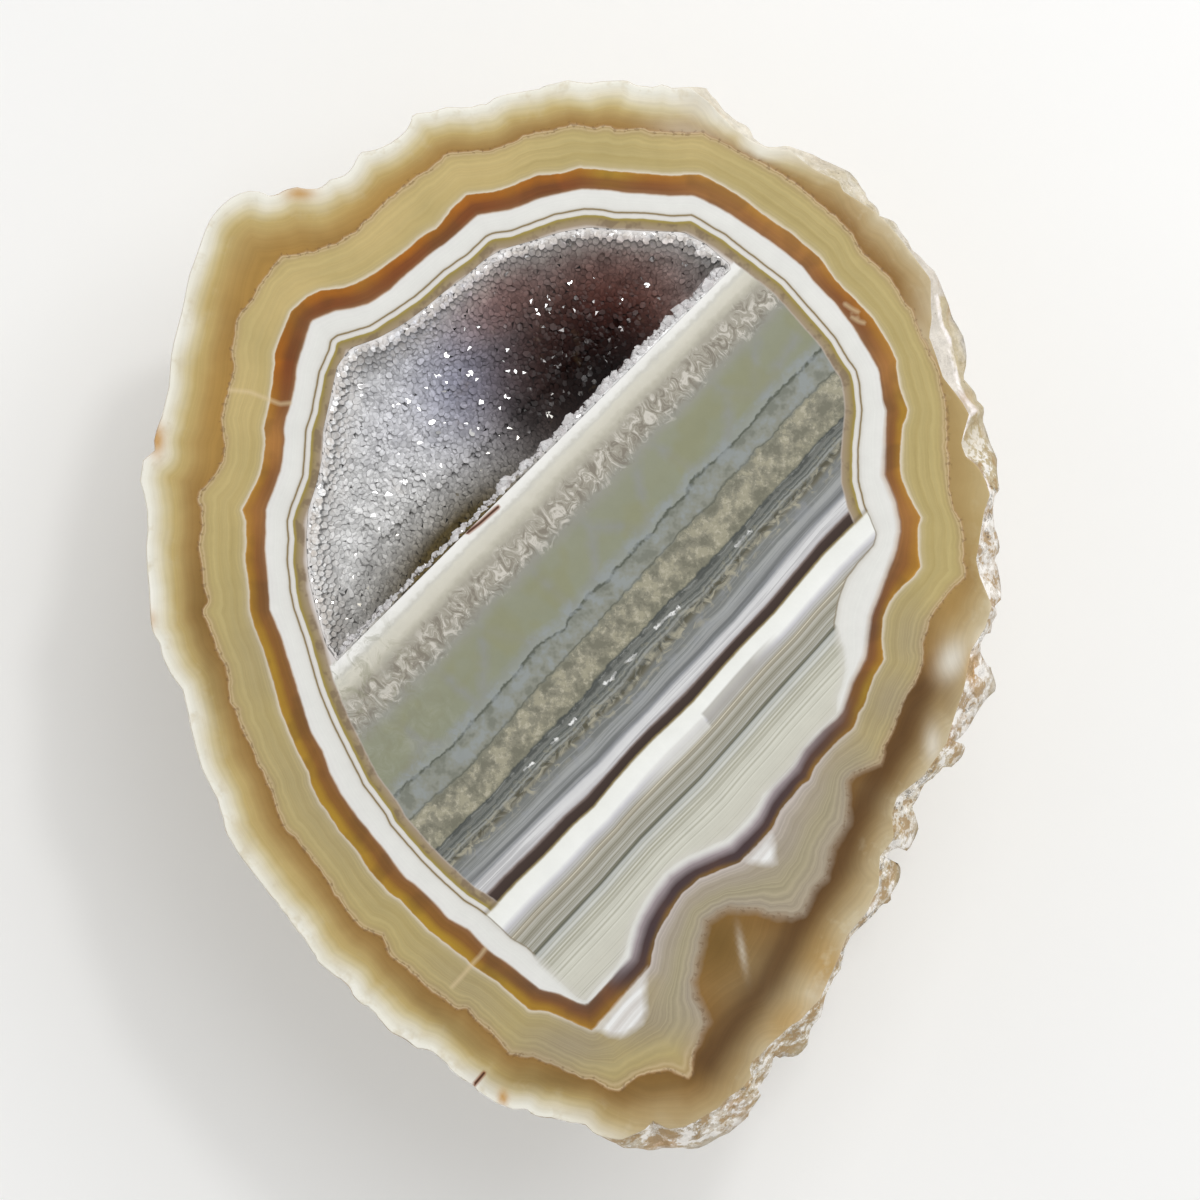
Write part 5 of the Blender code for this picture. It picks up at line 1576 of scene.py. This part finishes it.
# Painted shade: the dark facets in the gaps between crystals.
colour = laid(colour, "#171516", over(third, 0.96, 0.98), nodes.math("MULTIPLY_ADD", crystal, 0.4, 0.6))
colour = laid(colour, "#8A7350", 0.3, effect(nodes, STAIN, place, 4.0, 0.35)["Stain"])
colour = nodes.mix(1.0, colour, effect(nodes, GRAIN, place, 0.5, 0.35)["Shade"], "MULTIPLY")
flash = nodes.times(over(facet, 0.97, 0.98), over(shade_tone, 0.35, 0.8, 1.0, 0.15))
colour = nodes.mix(flash, colour, nodes.mix(nodes.times(olive_tone, 0.7), "#FFFFFF", "#F2DC8C"))
nodes.set(shader, {
    "Base Color": colour,
    "Roughness": nodes.blend(flash, nodes.math("MULTIPLY_ADD", third, 0.3, 0.12), 0.16),
    "Metallic": nodes.times(flash, 0.9),
    "Normal": nodes.add("Attribute", attribute_name="soft_normal").outputs["Vector"],
    "Specular IOR Level": 0.15,
})
crust.data.materials.append(druse)
print("the druse's material has", len(nodes.tree.nodes), "nodes")

# %% [markdown]
# ## The clear points
# Along the hollow's straight side stands a row of larger crystals, clear enough to see through. Each is a
# closed six-sided prism with a pointed end, as quartz grows, so that light bends in it as in glass.

# %% The row of clear points
POINT_SEED = 5
POINT_GAP = 0.4
POINT_RADIUS = (0.18, 0.5)
POINT_ROOT = 0.7  # how deep a point stands in the crust
# each row's start along the side, its distance from it and its height
POINT_ROWS = ((0.0, 0.05, 39.7), (0.2, 0.45, 39.3), (0.1, 0.25, 39.5), (0.3, 0.1, 38.8))
TALLER_POINTS = [(-0.6, 19.0), (2.9, 23.2), (6.6, 26.4), (-6.8, 12.4), (8.4, 28.2), (-11.2, 8.2)]
CHORD_ENDS = np.array([(-22.7, -4.5), (15.5, 33.7)])


def unit(vector):
    return vector / np.linalg.norm(vector)


def crystal_ring(middle, axis, side, radius, draws):
    """The six corners of a crystal, none quite the same."""
    other = np.cross(axis, side)
    angles = np.arange(6) * math.pi / 3 + draws[0]
    stretch = radius * (0.85 + 0.3 * draws[1:7])
    return middle + np.outer(np.cos(angles) * stretch, side) + np.outer(np.sin(angles) * stretch, other)


def clear_point(along_chord, out_by, top, draw):
    """One point: two rings of six corners and an apex."""
    share = (along_chord + 0.3 * draw[0]) / chord_length
    spot = CHORD_ENDS[0] + (CHORD_ENDS[1] - CHORD_ENDS[0]) * share
    tall = max(math.exp(-np.hypot(*(spot - taller)) ** 2) for taller in np.array(TALLER_POINTS))
    size = (0.35 + 0.8 * draw[1] ** 2) * (0.7 + 0.6 * along_chord / chord_length) + 0.9 * tall * draw[19]
    out = DIAGONAL * (out_by + 0.25 * draw[2]) * (1 + 0.5 * tall)
    base = np.append(spot - CENTRE - out, top - 0.3 * draw[3])
    lean = ALONG * (draw[5] - 0.5) * 2.2 - DIAGONAL * (0.1 + 0.8 * draw[4])
    axis = unit(np.append(lean, draw[6] * 1.2 - 0.2))
    side = unit(np.cross(axis, (0.0, 0.0, 1.0)))
    radius = np.interp(draw[7], (0, 1), POINT_RADIUS) * size
    stalk = (0.05 + 0.25 * draw[8]) * size
    tip = stalk + radius * (0.8 + 0.5 * draw[9])
    ends = (-POINT_ROOT, stalk)
    rings = [crystal_ring(base + axis * end, axis, side, radius, draw[10:17]) for end in ends]
    apex = base + axis * tip + side * radius * 0.5 * (draw[18] - 0.5)
    corners = np.vstack(rings + [apex[None]])
    corners[:, 2] = np.minimum(corners[:, 2], DEPTH - 0.05)
    return corners


generator = np.random.default_rng(POINT_SEED)
chord_length = np.hypot(*(CHORD_ENDS[1] - CHORD_ENDS[0]))
point_places, point_faces = [], []
for start, out_by, top in POINT_ROWS:
    for along_chord in np.arange(start, chord_length, POINT_GAP):
        low = np.arange(6) + 13 * len(point_places)
        high = low + 6
        point_places.append(clear_point(along_chord, out_by, top, generator.random(20)))
        point_faces += ring_quads(low, high) + [(high[i], high[(i + 1) % 6], high[-1] + 1) for i in range(6)]
        point_faces.append(low[::-1])
points_piece = object_of("clear_points", np.vstack(point_places), point_faces)
print(len(point_places), "clear points")

# %% The clear points' material
CLEARNESS = 0.4
clear, nodes, shader = material_of("clear quartz")
place = nodes.place()
tint = nodes.ramp(cloudy(0.6, 3.0), [(0.35, "#EFEAEA"), (0.55, "#FBF9F9"), (0.7, "#FFFFFF")])
nodes.set(shader, {"Base Color": tint, "Roughness": 0.08, "IOR": 1.54, "Transmission Weight": CLEARNESS})
points_piece.data.materials.append(clear)
print("the clear quartz lets this share of the light through:", CLEARNESS)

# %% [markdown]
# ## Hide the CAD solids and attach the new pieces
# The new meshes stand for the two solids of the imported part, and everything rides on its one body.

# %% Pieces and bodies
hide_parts("agate_nodule")
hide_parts("druse_crust")
for piece, slot in ((stone, "agate"), (crust, "druse"), (points_piece, "druse")):
    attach(piece, "root")
print("pieces:", stone.name, crust.name, points_piece.name)

# %% [markdown]
# ## Floor, light and camera
# The stone was photographed on white, in soft light that comes mostly from the upper right. A pale sky
# lights it from everywhere, a large soft panel gives the direction, and a small one makes the crystals
# sparkle. Colours are shown as they are, without a film look, so the bands keep the colours that they were
# given.

# %% The floor
FLOOR_SIZE = 1.2
mesh = bpy.data.meshes.new("floor")
half = FLOOR_SIZE / 2
mesh.from_pydata([(-half, -half, 0), (half, -half, 0), (half, half, 0), (-half, half, 0)], [], [(0, 1, 2, 3)])
floor = bpy.data.objects.new("floor", mesh)
bpy.context.scene.collection.objects.link(floor)
pale, nodes, shader = material_of("pale paper")
paper = nodes.ramp(nodes.noise(nodes.place(), 60.0, 2.0), [(0.3, "#FAFAF9"), (0.7, "#FCFCFB")])
nodes.set(shader, {"Base Color": paper, "Roughness": 0.9})
mesh.materials.append(pale)
print("floor", FLOOR_SIZE, "m wide")


# %% Light
def soft_panel(name, place, size, power, target=(0, 0, 0.03)):
    """A square panel of light that faces the stone."""
    light = bpy.data.lights.new(name, "AREA")
    light.size, light.energy = size, power
    lamp = bpy.data.objects.new(name, light)
    lamp.location = place
    lamp.rotation_euler = (Vector(target) - Vector(place)).to_track_quat("-Z", "Y").to_euler()
    bpy.context.scene.collection.objects.link(lamp)


SKY_STRENGTHS = [
    (-1.0, 0.92), (0.3, 0.92), (0.72, 0.70), (0.93, 0.40), (1.0, 0.30),
]  # by height: darker overhead
world = bpy.data.worlds.new("pale studio")
bpy.context.scene.world = world
world.use_nodes = True
sky = Nodes(world.node_tree)
height = sky.add("SeparateXYZ", {0: sky.add("TexCoord").outputs["Generated"]}).outputs[2]
greys = [(place, (strength, strength, strength, 1)) for place, strength in SKY_STRENGTHS]
sky.set(world.node_tree.nodes["Background"], {"Color": sky.ramp(height, greys)})
soft_panel("large panel", (0.22, 0.28, 0.62), 0.5, 1.6)
soft_panel("sparkle panel", (0.14, 0.24, 0.5), 0.05, 0.35)
bpy.context.scene.view_settings.view_transform = "Standard"
bpy.context.scene.view_settings.look = "None"
print("a pale sky and two panels")

# %% Camera
FIELD = 120.0  # millimetres of the polished face that the square picture spans
VIEW_CENTRE = (2.9, 1.7)
CAMERA_HEIGHT = 500.0  # above the polished face
SENSOR = 36.0
camera_data = bpy.data.cameras.new("camera")
camera_data.sensor_width = SENSOR
camera_data.lens = SENSOR * CAMERA_HEIGHT / FIELD
camera = bpy.data.objects.new("camera", camera_data)
camera.location = (VIEW_CENTRE[0] * MM, VIEW_CENTRE[1] * MM, (DEPTH + CAMERA_HEIGHT) * MM)
bpy.context.scene.collection.objects.link(camera)
bpy.context.scene.camera = camera
print("lens", round(camera_data.lens, 1), "mm")
